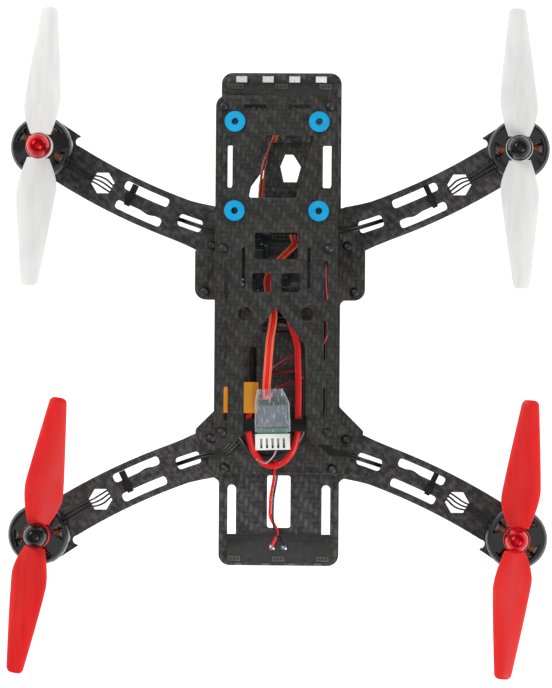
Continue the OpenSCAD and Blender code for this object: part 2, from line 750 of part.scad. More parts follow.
// Side-facing lights along the outer edge of each light board; the rear ones are slimmer
module light_leds() {
    color([0.92, 0.93, 0.9])
    for (end = [[light_front, 1, 5, 2.8], [light_rear, -1, 3.6, 1.3]])
        for (k = [-1.5 : 1 : 1.5]) {
            y = end[0][0] + end[1] * (end[0][1] / 2 + 0.3);
            translate([k * led_pitch - end[2] / 2, y - end[3] / 2, arm_z + light_t])
                cube([end[2], end[3], 1.3]);
        }
}

// ---- flight controller stack ----

module board(z) {
    difference() {
        window(0, stack_y, board_w, board_w, 3, z + eps, board_t - 2 * eps);
        holes(stack_points(), screw_hole_r, z, board_t);
    }
}

module flight_controller_board() {
    color([0.05, 0.16, 0.1]) board(brain_z);
}

module chip(x, y, w, d, h, z) {
    translate([x - w / 2, stack_y + y - d / 2, z]) cube([w, d, h]);
}

// Processor, motion sensor, memory, barometer, regulator and the row of small parts
module flight_controller_chips() {
    color([0.08, 0.08, 0.09]) {
        chip(0, 0, 9, 9, 1.3, brain_top);
        chip(-9, 6, 4, 4, 0.9, brain_top);
        chip(9.5, 5.5, 5, 5.4, 1.6, brain_top);
        chip(-9, -4, 3, 2.5, 1, brain_top);
        chip(8.5, -5, 6, 3.5, 1.5, brain_top);
        for (k = [-3 : 3]) {
            chip(k * 1.7, 6.6, 0.8, 1.6, 0.7, brain_top);
            chip(k * 1.7, -6.8, 0.8, 1.6, 0.7, brain_top);
        }
    }
}

// A data socket at the left edge and two pin sockets at the front and rear edges
module flight_controller_plugs() {
    color([0.12, 0.12, 0.13])
    difference() {
        union() {
            chip(-15.2, 0, 5.4, 7.6, 2.6, brain_top);
            chip(front_plug_x, 14.6, 15, 4.4, 4, brain_top);
            chip(0, -14.6, 15, 4.4, 4, brain_top);
            chip(button_x, button_y, 3.6, 4.4, 1.5, brain_top);
        }
        translate([-18.4, stack_y - 3.3, brain_top + 0.5]) cube([4.6, 6.6, 1.6]);
        for (side = [-1, 1]) for (k = [-3 : 3])
            chip(k * 1.8 + (side > 0 ? front_plug_x : 0), side * 14.6, 1, 2.4, 4,
                brain_top + 1.2);
        translate([button_x, stack_y + button_y, brain_top + 0.3]) cylinder(h = 3, r = 0.9);
    }
}

// The plunger of the boot button, in its case on the board
module boot_button() {
    color([0.15, 0.15, 0.16])
    translate([button_x, stack_y + button_y, brain_top + 0.35 + button_travel])
        cylinder(h = 1.5, r = 0.85);
}

module speed_controller_board() {
    color([0.04, 0.05, 0.1]) board(power_z);
}

// Power transistors in four groups, four small processors and the solder pads
module speed_controller_parts() {
    color([0.1, 0.1, 0.11])
    for (sx = [-1, 1], sy = [-1, 1]) {
        for (i = [0 : 2], j = [0 : 1])
            chip(sx * (9.6 - 3.7 * i + 0.3), sy * (9 - 4 * j), 3.2, 3.2, 0.9, power_top);
        chip(sx * 13.4, sy * 4.5, 4, 4, 0.9, power_top);
    }
}

// A capacitor can lying behind the boards, its two leads bent forward to the power pads
module power_capacitor() {
    can_r = 4;
    can_l = 14;
    wire_r = 0.3;
    color([0.12, 0.13, 0.3]) translate([0, 8.6, power_top + 0.45]) mirror([1, 0, 0]) {
        translate([-can_l / 2, 0, 0]) rotate([0, 90, 0]) cylinder(h = can_l, r = can_r);
        for (k = [-1, 1]) translate([can_l / 2 - 0.4, k, 0]) {
            bend = 1.7 - 0.7 * k;
            rotate([0, 90, 0]) cylinder(h = bend, r = wire_r);
            translate([bend, 0, 0]) sphere(r = wire_r);
            translate([bend, 0, 0]) rotate([-90, 0, 0]) cylinder(h = 9.4 - k, r = wire_r);
        }
    }
}

module stack_spacers() {
    color([0.75, 0.75, 0.7])
    for (p = stack_points()) {
        translate([p.x, p.y, deck_z]) tube(2.7, screw_hole_r, power_z - deck_z);
        translate([p.x, p.y, power_top]) tube(2.7, screw_hole_r, brain_z - power_top);
    }
}

module stack_screws() {
    color([0.1, 0.1, 0.11])
    for (p = stack_points()) translate([p.x, p.y, mid_z]) rotate([180, 0, 0])
        button_screw(brain_top + 3.2 - mid_z);
}

module stack_nuts() {
    color([0.75, 0.76, 0.78])
    for (p = stack_points()) translate([p.x, p.y, brain_top]) difference() {
        cylinder(h = 2.4, r = 3.15, $fn = 6);
        translate([0, 0, -eps]) cylinder(h = 4, r = screw_r + gap);
    }
}

// ---- receiver ----

receiver_x = -1.4;
receiver_y = -33;
receiver_z = 38.4;
receiver_w = 16.2;
receiver_l = 24;
receiver_h = 5;
receiver_tilt = 1.5;

module at_receiver() {
    translate([receiver_x, receiver_y, receiver_z]) rotate(receiver_tilt) children();
}

module receiver_board() {
    color([0.05, 0.3, 0.15])
    at_receiver() {
        translate([-6.6, -receiver_l / 2, 0]) cube([13.2, receiver_l - 4, 1]);
        translate([-4.5, -5, 1]) cube([7, 7, 1.2]);
        translate([-5.5, 3.2, 1]) cube([5, 3.4, 1.5]);
    }
}

// Clear sleeve shrunk round the receiver
module receiver_sleeve() {
    wall = 0.35;
    color([0.8, 0.82, 0.85, 0.5])
    at_receiver() difference() {
        translate([-receiver_w / 2, -receiver_l / 2 + 4.6, -1.4])
            cube([receiver_w, receiver_l - 4.8, receiver_h]);
        translate([-receiver_w / 2 + wall, -receiver_l / 2 + 4.6 - eps, -1.4 + wall])
            cube([receiver_w - 2 * wall, receiver_l - 4.8 + 2 * eps, receiver_h - 2 * wall]);
    }
}

// Pin socket at the rear of the receiver, with a slot for every pin
module receiver_connector() {
    pin_pitch = 2.54;
    color([0.9, 0.9, 0.87])
    at_receiver() difference() {
        translate([-7.8, -receiver_l / 2 - 3.4, 1.05]) cube([15.6, 7.2, 4]);
        for (k = [-2 : 2]) translate([k * pin_pitch - 0.5, -receiver_l / 2 - 2.6, 2.2])
            cube([1, 4.4, 4]);
    }
}

// ---- cables ----

// Path of a cable wire: k counts wires across the ribbon
function cable_path(k) = let (d = 1.25 * k) [
    [-4 + d, -25.9, 40.4], [-4.2 + d, -20, 40.2], [-3.4 + d, -7.7, 39.6], [-2.8 + d, 1.3, 38.6],
    [-1.6 + d, 9, 38], [-1.4 + d, 14.6, 37.4], [-3.4 + d, 21, 36.4], [-4.4 + d, 27.6, 35],
    [-3 + d, 32.5, 33.6], [0.6 + d, 37, 32.2], [5 + d, 41.4, 31.2], [8.4 + d, 44.6, 30.4],
    [7.5 + 1.8 * k, 47.6, 28.8], [7.5 + 1.8 * k, 48.7, 26.5]];

// Three-wire cable from the receiver to the flight controller
module receiver_cable() {
    color([0.85, 0.2, 0.1])
    for (k = [-1 : 1]) wire(eased(cable_path(k), 2.4), 0.6);
    color([0.6, 0.6, 0.62])
    wire(eased([[0.4, -48.7, 41.2], [-0.2, -50.5, 41], [-2.2, -53, 38], [-5, -55, 32],
        [-9, -53, 26]], 2), 0.35, 6);
}

plug_x = -16.6;
plug_y = -25.2;
plug_z = 20;
plug_l = 14;

// Two-pole battery plug in its usual chamfered shape
module battery_plug() {
    w = 15.6;
    h = 8.1;
    l = plug_l;
    bevel = 2.4;
    color([0.93, 0.62, 0.12])
    translate([plug_x, plug_y + l / 2, plug_z]) rotate([90, 0, 0]) difference() {
        linear_extrude(l) polygon([[-w / 2, -h / 2], [w / 2 - bevel, -h / 2],
            [w / 2, -h / 2 + bevel], [w / 2, h / 2 - bevel], [w / 2 - bevel, h / 2],
            [-w / 2, h / 2]]);
        for (x = [-3.6, 3.6]) translate([x, 0, -eps]) cylinder(h = 9, r = 2.4);
    }
}

// Thick leads from the plug, round a loop behind the receiver, and forward to the power board
lead_end_z = power_top + thick_r + 0.1;
live_path = [[plug_x + 3.6, plug_y - plug_l / 2 - 0.1, plug_z], [-13, -36.5, plug_z],
    [-12.9, -44, 19.4], [-10.8, -50.4, 17.6], [-5.6, -56.6, 17], [1.6, -56, 17.6],
    [7, -50.4, 19], [9.4, -41.7, 19.4], [9.5, -20, 19.4], [8.8, 0, 20], [5.4, 9, 20],
    [4.4, 13.5, 18.4], [4.4, 17.5, lead_end_z], [4.4, 21, lead_end_z]];
return_path = [[plug_x - 3.6, plug_y - plug_l / 2 - 0.1, plug_z], [-20.2, -36.5, plug_z],
    [-18, -44, 16.4], [-12, -50.6, 13.6], [-4.6, -53.6, 13.2], [4, -50.8, 13.4],
    [11, -43, 13.6], [12.6, -34, 14.6], [12.8, -18, 16], [12.3, 0, 18.6], [9.8, 9, 20],
    [8.7, 13.5, 18.4], [8.7, 17.5, lead_end_z], [8.7, 21, lead_end_z]];

module battery_wires() {
    color([0.8, 0.08, 0.06]) wire(eased(live_path, 4), thick_r, 10);
    color([0.08, 0.08, 0.08]) wire(eased(return_path, 4), thick_r, 10);
}

// Path of a motor wire of the front left arm: it dives through the arm's opening, runs under
// the arm, comes up at the root and ends on the power board
function spot(s, o, z) = [on_arm(s, o).x, on_arm(s, o).y, z];
function arm_run(k) = let (low = arm_z - lead_r - 0.07, high = mid_z + lead_r + 0.07,
    rise = k == 0 ? 0 : 0.84, o = 1.1 * k)
    [spot(13, 1.9 * k, high), spot(25.6, 1.3 * k, high), spot(28.8, 1.8 * k + 0.8, high + 0.2),
    spot(32, 2.1 * k + 0.8, arm_z + 1.6), spot(35.8, 1.7 * k, low), spot(44, o, low), spot(56, o - 2.2, low),
    spot(64, 0.52 * k - 0.8, low + rise - 0.84), spot(70.6, 0.52 * k, low + rise - 0.84),
    spot(75.2, 0.52 * k, arm_z + 2 + rise), spot(79.6, 0.52 * k, high + 0.4 + rise),
    spot(85.4, 0.7 * k, deck_z + lead_r + 0.2 + rise)];
function aside(x, y, z, dx, dy, k) = [x + dx * k, y + dy * k, z];
run_z = deck_z + lead_r + 0.15;
pad_z = power_top + lead_r + 0.05;
function front_run(k) = concat(arm_run(k), [aside(-24.6, 50.6, run_z, 0.94, 0.83, k),
    aside(-19.6, 45.7, pad_z, 0.94, 0.83, k), aside(-16.6, 42, pad_z, 0.6, 1.6, k)]);
function mirrored_y(p) = [for (v = p) [v.x, -v.y, v.z]];
function rear_run(k) = concat(mirrored_y(arm_run(k)), [
    aside(-24.6, -50.6, run_z, 0.94, -0.83, k), aside(-19.2, -45.4, run_z, 1.25, -0.5, k),
    aside(-19.2, -36, run_z, 1.25, 0, k), aside(-20, -31, run_z, 1.25, 0, k),
    aside(-20, 18.6, run_z, 1.25, -0.4, k), aside(-20, 22.5, pad_z, 1.1, -1, k),
    aside(-16.6, 26, pad_z, 0, -1.7, k)]);

// Two thin wires from a light board to the power board
function rear_light_path(k) = let (d = 0.65 * k, z = deck_z + 3.4 + d)
    [[-0.1 + 2.8 * k, -93.8, 4], [-0.7 - 0.8 * k, -87.4, 4.6 + d], [-3.3 + d, -80, 4.8],
    [-2.9 + d, -71, 5.6], [-1.2 + d, -62.4, 9], [-0.8 + d, -56, 9.2],
    [-2, -44, deck_z + 1.5 + d], [-3.4, -30, deck_z + 1.9 + d], [-2, -21.6, z], [3, -19.4, z],
    [9.4, -17.4, z], [11.6, -14.8, z], [8, -12.9, z], [1, -14, z], [-3.6, -13.6, z],
    [-2.3, -11.6, z], [5, -6.8, z + 1], [13, -4, z + 2.6], [19.6, -1.4, z + 6],
    [22.2, 3, z + 11], [22.4, 10, z + 15], [22, 19.4, z + 16], [21.3, 28.3, z + 16],
    [21.3, 35.4, z + 14], [19.8, 37.6, z + 8], [17.6, 36.6, power_top + 1.4 + d],
    [15.8 + d, 34.6, power_top + 0.7]];
function front_light_path(k) = let (d = 0.75 * k)
    [[-1 + d, 109.6, 4.4], [-1.4 + d, 103, 7], [-1.6 + d, 95, 15], [-7 + d, 80, 19],
    [-8.6 + d, 66, 16], [-7 + d, 54.4, 14.4], [-6 + d, 51, power_top + 0.7],
    [-6 + d, 47.5, power_top + 0.7]];

module signal_wires() {
    color([0.1, 0.1, 0.1]) for (k = [-1 : 1]) both_sides() {
        wire(eased(front_run(k), 1.2, 2), lead_r, 6);
        wire(eased(rear_run(k), 1.2, 2), lead_r, 6);
    }
    color([0.8, 0.1, 0.1]) for (k = [-1, 1]) {
        wire(eased(rear_light_path(k), 2, 3), lead_r, 6);
        wire(eased(front_light_path(k), 3, 3), lead_r, 6);
    }
}

// Ties round the rib between an arm's slots, holding the motor wires underneath
module cable_tie(side) {
    band_w = 2.5;
    band_t = 0.7;
    low = 0.85;
    high = mid_z + 0.05;
    x1 = side > 0 ? -6.08 : -3.05;
    x2 = side > 0 ? 3.05 : 6.08;
    at = on_arm(tie_s, 0);
    translate([at.x, at.y, 0]) rotate(arm_turn(tie_s)) {
        difference() {
            translate([x1 - band_t, -band_w / 2, low - band_t])
                cube([x2 - x1 + 2 * band_t, band_w, high - low + 2 * band_t]);
            translate([x1, -band_w, low]) cube([x2 - x1, 2 * band_w, high - low]);
        }
        translate([-2.2, -1.9, high + band_t]) cube([3.2, 3.8, 2]);
    }
}

// A woven strap round the battery leads, under the receiver
module wire_strap() {
    strap_w = 5.8;
    band = 0.45;
    low = 11.1;
    high = 22.2;
    translate([0, -34.8, 0]) rotate([90, 0, 0]) linear_extrude(strap_w) difference() {
        polygon(rounded([[-15.6, low, 2], [15.2, low, 2], [15.2, high, 2], [-15.6, high, 2]]));
        polygon(rounded([[-15.6 + band, low + band, 1.6], [15.2 - band, low + band, 1.6],
            [15.2 - band, high - band, 1.6], [-15.6 + band, high - band, 1.6]]));
    }
}

module cable_ties() {
    color([0.08, 0.08, 0.08])
    both_sides() {
        cable_tie(1);
        mirror([0, 1, 0]) cable_tie(-1);
    }
    color([0.07, 0.07, 0.08]) wire_strap();
}

bottom_plate();
mid_plate();
top_plate();
camera_plate();
vibration_dampers();
standoffs();
ear_spacers();
top_plate_screws();
arm_screws();
belly_screws();
arm_front_left();
arm_front_right();
arm_rear_left();
arm_rear_right();
motor_bases();
stator_cores();
windings();
bearings();
motor_screws();
bell_front_left();
bell_front_right();
bell_rear_left();
bell_rear_right();
magnets_front_left();
magnets_front_right();
magnets_rear_left();
magnets_rear_right();
shaft_front_left();
shaft_front_right();
shaft_rear_left();
shaft_rear_right();
propeller_front_left();
propeller_front_right();
propeller_rear_left();
propeller_rear_right();
prop_nut_front_left();
prop_nut_front_right();
prop_nut_rear_left();
prop_nut_rear_right();
front_light_board();
rear_light_board();
light_leds();
flight_controller_board();
flight_controller_chips();
flight_controller_plugs();
boot_button();
speed_controller_board();
speed_controller_parts();
power_capacitor();
stack_spacers();
stack_screws();
stack_nuts();
receiver_board();
receiver_sleeve();
receiver_connector();
receiver_cable();
battery_plug();
battery_wires();
signal_wires();
cable_ties();
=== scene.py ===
"""Looks of the racing quadcopter: a finish for every CAD part, and finer propellers, coils, wires
and board details. Lengths are in millimetres unless a comment says metres; MM turns them into metres."""

import json
import math
import random

import bmesh
import bpy
from mathutils import Matrix, Vector


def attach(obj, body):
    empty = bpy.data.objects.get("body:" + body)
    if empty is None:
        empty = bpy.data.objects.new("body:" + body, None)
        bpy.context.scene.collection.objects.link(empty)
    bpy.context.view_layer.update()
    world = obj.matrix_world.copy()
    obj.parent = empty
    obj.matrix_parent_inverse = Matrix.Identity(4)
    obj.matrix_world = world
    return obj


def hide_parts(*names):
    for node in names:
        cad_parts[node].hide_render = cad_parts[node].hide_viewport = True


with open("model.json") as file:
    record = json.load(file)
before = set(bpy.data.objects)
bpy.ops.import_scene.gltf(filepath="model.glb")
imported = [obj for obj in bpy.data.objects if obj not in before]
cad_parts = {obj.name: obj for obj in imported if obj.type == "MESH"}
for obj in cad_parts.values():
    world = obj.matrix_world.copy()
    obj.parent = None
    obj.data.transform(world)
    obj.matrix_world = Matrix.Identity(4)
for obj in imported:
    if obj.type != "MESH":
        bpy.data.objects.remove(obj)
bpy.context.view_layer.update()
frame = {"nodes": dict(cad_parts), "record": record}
NODES = frame["nodes"]
MM = 0.001
WELD = 0.002 * MM  # points closer than this are one point
LAYER = 0.25 * MM  # one layer of cloth in a cut edge of the carbon plate
SHARP = math.radians(42)  # edges that turn by more than this stay crisp


# ---- finishes ----

class Finish:
    """A material made of nodes. Each method adds nodes and returns an output socket."""

    def __init__(self, name, rough=0.5, metal=0.0, **extra):
        self.mat = bpy.data.materials.new(name)
        self.mat.use_nodes = True
        self.tree = self.mat.node_tree
        self.tree.nodes.clear()
        self.bsdf = self.add("ShaderNodeBsdfPrincipled")
        out = self.add("ShaderNodeOutputMaterial")
        self.tree.links.new(self.bsdf.outputs[0], out.inputs[0])
        self.place = self.add("ShaderNodeTexCoord").outputs["Object"]
        self.normal = self.add("ShaderNodeTexCoord").outputs["Normal"]
        self.set(Roughness=rough, Metallic=metal)
        for key, value in extra.items():
            self.put(self.bsdf.inputs[key.replace("_", " ")], value)

    def add(self, kind, **settings):
        node = self.tree.nodes.new(kind)
        for key, value in settings.items():
            setattr(node, key, value)
        return node

    def put(self, socket, value):
        if isinstance(value, bpy.types.NodeSocket):
            self.tree.links.new(value, socket)
        else:
            socket.default_value = value

    def set(self, **inputs):
        for key, value in inputs.items():
            self.put(self.bsdf.inputs[key], value)

    def math(self, op, a, b=0.0, c=0.0):
        node = self.add("ShaderNodeMath", operation=op)
        for socket, value in zip(node.inputs, (a, b, c)):
            self.put(socket, value)
        return node.outputs[0]

    def split(self, vector):
        node = self.add("ShaderNodeSeparateXYZ")
        self.put(node.inputs[0], vector)
        return node.outputs

    def join(self, x, y, z):
        node = self.add("ShaderNodeCombineXYZ")
        for socket, value in zip(node.inputs, (x, y, z)):
            self.put(socket, value)
        return node.outputs[0]

    def noise(self, scale, detail=2.0, vector=None):
        node = self.add("ShaderNodeTexNoise")
        self.put(node.inputs["Vector"], vector or self.place)
        self.put(node.inputs["Scale"], scale)
        self.put(node.inputs["Detail"], detail)
        return node.outputs["Fac"]

    def span(self, value, a, b, low=0.0, high=1.0):
        node = self.add("ShaderNodeMapRange")
        for socket, v in zip(node.inputs, (value, a, b, low, high)):
            self.put(socket, v)
        return node.outputs[0]

    def mix(self, factor, a, b):
        node = self.add("ShaderNodeMix", data_type="RGBA")
        self.put(node.inputs["Factor"], factor)
        self.put(node.inputs["A"], a)
        self.put(node.inputs["B"], b)
        return node.outputs["Result"]

    def bump(self, height, distance):
        node = self.add("ShaderNodeBump")
        self.put(node.inputs["Height"], height)
        node.inputs["Distance"].default_value = distance
        node.inputs["Strength"].default_value = 1.0
        self.set(Normal=node.outputs[0])


def rgb(r, g, b):
    """A colour given as it's seen on a screen, 0 to 255."""
    def linear(v):
        v /= 255
        return v / 12.92 if v <= 0.04045 else ((v + 0.055) / 1.055) ** 2.4
    return (linear(r), linear(g), linear(b), 1.0)


def carbon(name, tow, dark, light, mottle):
    """2 by 2 twill: each tow floats over two crossing tows, one step further in every row."""
    f = Finish(name, rough=0.42, Coat_Weight=0.1, Coat_Roughness=0.3, Specular_IOR_Level=0.3)
    x, y, z = f.split(f.place)
    # The tows wander a little, so no two cells of the weave are alike
    wander_x = f.span(f.noise(170.0, 3.0), 0.25, 0.75, -0.2, 0.2)
    wander_y = f.span(f.noise(170.0, 3.0, f.join(y, x, z)), 0.25, 0.75, -0.2, 0.2)
    u = f.math("ADD", f.math("DIVIDE", x, tow), wander_x)
    v = f.math("ADD", f.math("DIVIDE", y, tow), wander_y)
    steps = f.math("ADD", f.math("FLOOR", u), f.math("FLOOR", v))
    warp = f.math("LESS_THAN", f.math("FLOORED_MODULO", steps, 4.0), 1.5)
    fu = f.math("FRACT", u)
    fv = f.math("FRACT", v)

    def crown(t):
        return f.math("SINE", f.math("MULTIPLY", t, math.pi))

    across = f.math("ADD", f.math("MULTIPLY", warp, crown(fu)),
                    f.math("MULTIPLY", f.math("SUBTRACT", 1.0, warp), crown(fv)))
    # Position along the float: 0 where the tow dives under its neighbour
    step = f.math("FLOORED_MODULO", steps, 2.0)
    along_v = f.math("MULTIPLY", f.math("ADD", step, fv), 0.5)
    along_u = f.math("MULTIPLY", f.math("ADD", step, fu), 0.5)
    along = f.math("ADD", f.math("MULTIPLY", warp, crown(along_v)),
                   f.math("MULTIPLY", f.math("SUBTRACT", 1.0, warp), crown(along_u)))
    height = f.math("ADD", f.math("POWER", across, 0.6), f.math("MULTIPLY", along, 0.8))
    fibres_y = f.noise(1.0, 3.0, f.join(f.math("MULTIPLY", x, 9000.0), f.math("MULTIPLY", y, 500.0), z))
    fibres_x = f.noise(1.0, 3.0, f.join(f.math("MULTIPLY", x, 500.0), f.math("MULTIPLY", y, 9000.0), z))
    fibres = f.math("ADD", f.math("MULTIPLY", warp, fibres_y),
                    f.math("MULTIPLY", f.math("SUBTRACT", 1.0, warp), fibres_x))
    tows = f.noise(1.0, 1.0, f.join(f.math("MULTIPLY", f.math("FLOOR", u), 3.7),
                                   f.math("MULTIPLY", f.math("FLOOR", v), 5.3), warp))
    # Painted sheen: each tow's crown, and all tows running one way, are painted lighter as a painted
    # highlight. The dips where a tow dives under its neighbour are painted darker as painted shade. Fibre
    # streaks are partly grain and partly painted sheen; tow tones and blotches are the laminate's own tone.
    sheen_and_tone = f.math("MULTIPLY", f.math("POWER", across, 0.7), f.span(warp, 0.0, 1.0, 0.5, 1.0))
    sheen_and_tone = f.math("MULTIPLY", sheen_and_tone, f.span(along, 0.0, 1.0, 0.35, 1.0))
    sheen_and_tone = f.math("MULTIPLY", sheen_and_tone, f.span(fibres, 0.3, 0.7, 0.35, 1.6))
    sheen_and_tone = f.math("MULTIPLY", sheen_and_tone, f.span(tows, 0.3, 0.7, 0.6, 1.25))
    blotches = f.span(f.noise(330.0, 5.0), 0.36, 0.64, -mottle, mottle)
    sheen_and_tone = f.math("ADD", f.math("MULTIPLY", sheen_and_tone, 1.0 - 0.5 * mottle), blotches)
    face = f.mix(f.math("MAXIMUM", sheen_and_tone, 0.0), dark, light)
    # Cut edges show the thin stacked layers
    layers = f.math("SINE", f.math("MULTIPLY", z, 2 * math.pi / LAYER))
    grain = f.noise(1.0, 2.0, f.join(f.math("MULTIPLY", x, 900.0), f.math("MULTIPLY", y, 900.0),
                                    f.math("MULTIPLY", z, 9000.0)))
    edge = f.mix(f.math("MULTIPLY", f.span(layers, -1.0, 1.0), grain), rgb(16, 16, 17), rgb(74, 72, 70))
    nz = f.math("ABSOLUTE", f.split(f.normal)[2])
    flat = f.span(nz, 0.55, 0.8)
    f.put(f.bsdf.inputs["Base Color"], f.mix(flat, edge, face))
    f.set(Roughness=f.span(f.math("MULTIPLY", fibres, flat), 0.0, 0.7, 0.62, 0.36))
    f.bump(f.math("MULTIPLY", height, flat), 0.05 * MM)
    return f.mat


def coated(name, low, high, rough, metal=0.0, grain=400.0, dent=0.01, **extra):
    """A finish whose colour wanders between two shades, with a fine grain and slight wear."""
    f = Finish(name, rough=rough, metal=metal, **extra)
    broad = f.noise(90.0, 3.0)
    fine = f.noise(grain * 12, 2.0)
    f.put(f.bsdf.inputs["Base Color"], f.mix(f.span(broad, 0.3, 0.7), low, high))
    f.set(Roughness=f.span(f.math("ADD", f.math("MULTIPLY", broad, 0.6), f.math("MULTIPLY", fine, 0.4)),
                           0.25, 0.75, rough * 0.8, min(1.0, rough * 1.25)))
    f.bump(fine, dent * MM)
    return f.mat


def turned(name, low, high, rough):
    """Machined metal: rings left by the tool run round the part at each height."""
    f = Finish(name, rough=rough, metal=1.0)
    x, y, z = f.split(f.place)
    rings = f.noise(1.0, 2.0, f.join(f.math("MULTIPLY", x, 120.0), f.math("MULTIPLY", y, 120.0),
                                    f.math("MULTIPLY", z, 14000.0)))
    f.put(f.bsdf.inputs["Base Color"], f.mix(rings, low, high))
    f.set(Roughness=f.span(rings, 0.3, 0.7, rough * 0.7, rough * 1.3))
    f.bump(rings, 0.01 * MM)
    return f.mat


def circuit(name, mask, copper, pitch, socket_z=1.0):
    """A board: solder mask over traces, bare edges, and grey sockets above a height in metres."""
    f = Finish(name, rough=0.32, Coat_Weight=0.35, Coat_Roughness=0.15)
    x, y, z = f.split(f.place)
    cell = f.math("FLOOR", f.math("DIVIDE", y, 7 * pitch))
    pick = f.noise(7.0, 0.0, f.join(cell, 0.3, 0.7))
    line_x = f.math("LESS_THAN", f.math("PINGPONG", x, pitch), 0.36 * pitch)
    line_y = f.math("LESS_THAN", f.math("PINGPONG", y, pitch), 0.36 * pitch)
    area = f.math("GREATER_THAN", f.noise(330.0, 1.0), 0.52)
    turn = f.math("GREATER_THAN", f.math("ADD", pick, f.noise(210.0, 0.0)), 1.0)
    lines = f.math("ADD", f.math("MULTIPLY", turn, line_x),
                   f.math("MULTIPLY", f.math("SUBTRACT", 1.0, turn), line_y))
    trace = f.math("MULTIPLY", lines, area)
    body = f.mix(f.math("MULTIPLY", trace, 0.55), mask, copper)
    nz = f.math("ABSOLUTE", f.split(f.normal)[2])
    layers = f.noise(1.0, 1.0, f.join(f.math("MULTIPLY", x, 300.0), f.math("MULTIPLY", y, 300.0),
                                     f.math("MULTIPLY", z, 6000.0)))
    edge = f.mix(layers, rgb(70, 66, 40), rgb(120, 112, 76))
    board = f.mix(f.span(nz, 0.6, 0.8), edge, body)
    f.put(f.bsdf.inputs["Base Color"], f.mix(f.math("GREATER_THAN", z, socket_z), board, rgb(70, 70, 67)))
    f.set(Roughness=f.span(f.noise(800.0), 0.3, 0.7, 0.26, 0.42))
    f.bump(f.math("MULTIPLY", trace, f.span(nz, 0.6, 0.8)), 0.035 * MM)
    return f.mat


def clear(name, tint, rough, cloud, film):
    """Thin clear plastic: mostly see-through, whiter where it's wrinkled or seen edge-on."""
    f = Finish(name, rough=rough, Specular_IOR_Level=0.6)
    wrinkles = f.noise(1.0, 3.0, f.join(*[f.math("MULTIPLY", c, k) for c, k in
                                         zip(f.split(f.place), (900.0, 260.0, 600.0))]))
    facing = f.add("ShaderNodeLayerWeight")
    facing.inputs["Blend"].default_value = 0.35
    seen = f.math("ADD", f.math("MULTIPLY", facing.outputs["Facing"], 0.6), cloud)
    seen = f.math("ADD", seen, f.math("MULTIPLY", f.span(wrinkles, 0.55, 0.75), film))
    f.put(f.bsdf.inputs["Base Color"], tint)
    f.set(Alpha=f.math("MINIMUM", seen, 1.0))
    f.bump(wrinkles, 0.25 * MM)
    return f.mat


def propeller_plastic(name, thin, thick):
    """Moulded nylon: light spreads a little under its surface."""
    f = Finish(name, rough=0.45, Subsurface_Weight=0.35, Subsurface_Scale=2.5 * MM,
               Specular_IOR_Level=0.28)
    f.put(f.bsdf.inputs["Subsurface Radius"], (1.0, 1.0, 1.0))
    flow = f.noise(1.0, 3.0, f.join(*[f.math("MULTIPLY", c, k) for c, k in
                                     zip(f.split(f.place), (380.0, 60.0, 380.0))]))
    f.put(f.bsdf.inputs["Base Color"], f.mix(f.span(flow, 0.3, 0.7), thin, thick))
    f.set(Roughness=f.span(flow, 0.3, 0.7, 0.38, 0.54))
    grain = f.math("MULTIPLY", f.noise(5200.0), 0.3)
    f.bump(f.math("ADD", f.math("MULTIPLY", flow, 0.7), grain), 0.02 * MM)
    return f.mat


def lamp(name):
    """White lamps at the front, and dim red-brown ones at the rear."""
    f = Finish(name, rough=0.3, Coat_Weight=0.4)
    speck = f.span(f.noise(900.0), 0.4, 0.6)
    white = f.mix(speck, rgb(222, 224, 218), rgb(244, 244, 240))
    rear = f.math("LESS_THAN", f.split(f.place)[1], 0.0)
    f.put(f.bsdf.inputs["Base Color"], f.mix(rear, white, rgb(92, 74, 66)))
    f.bump(f.noise(3000.0), 0.01 * MM)
    return f.mat


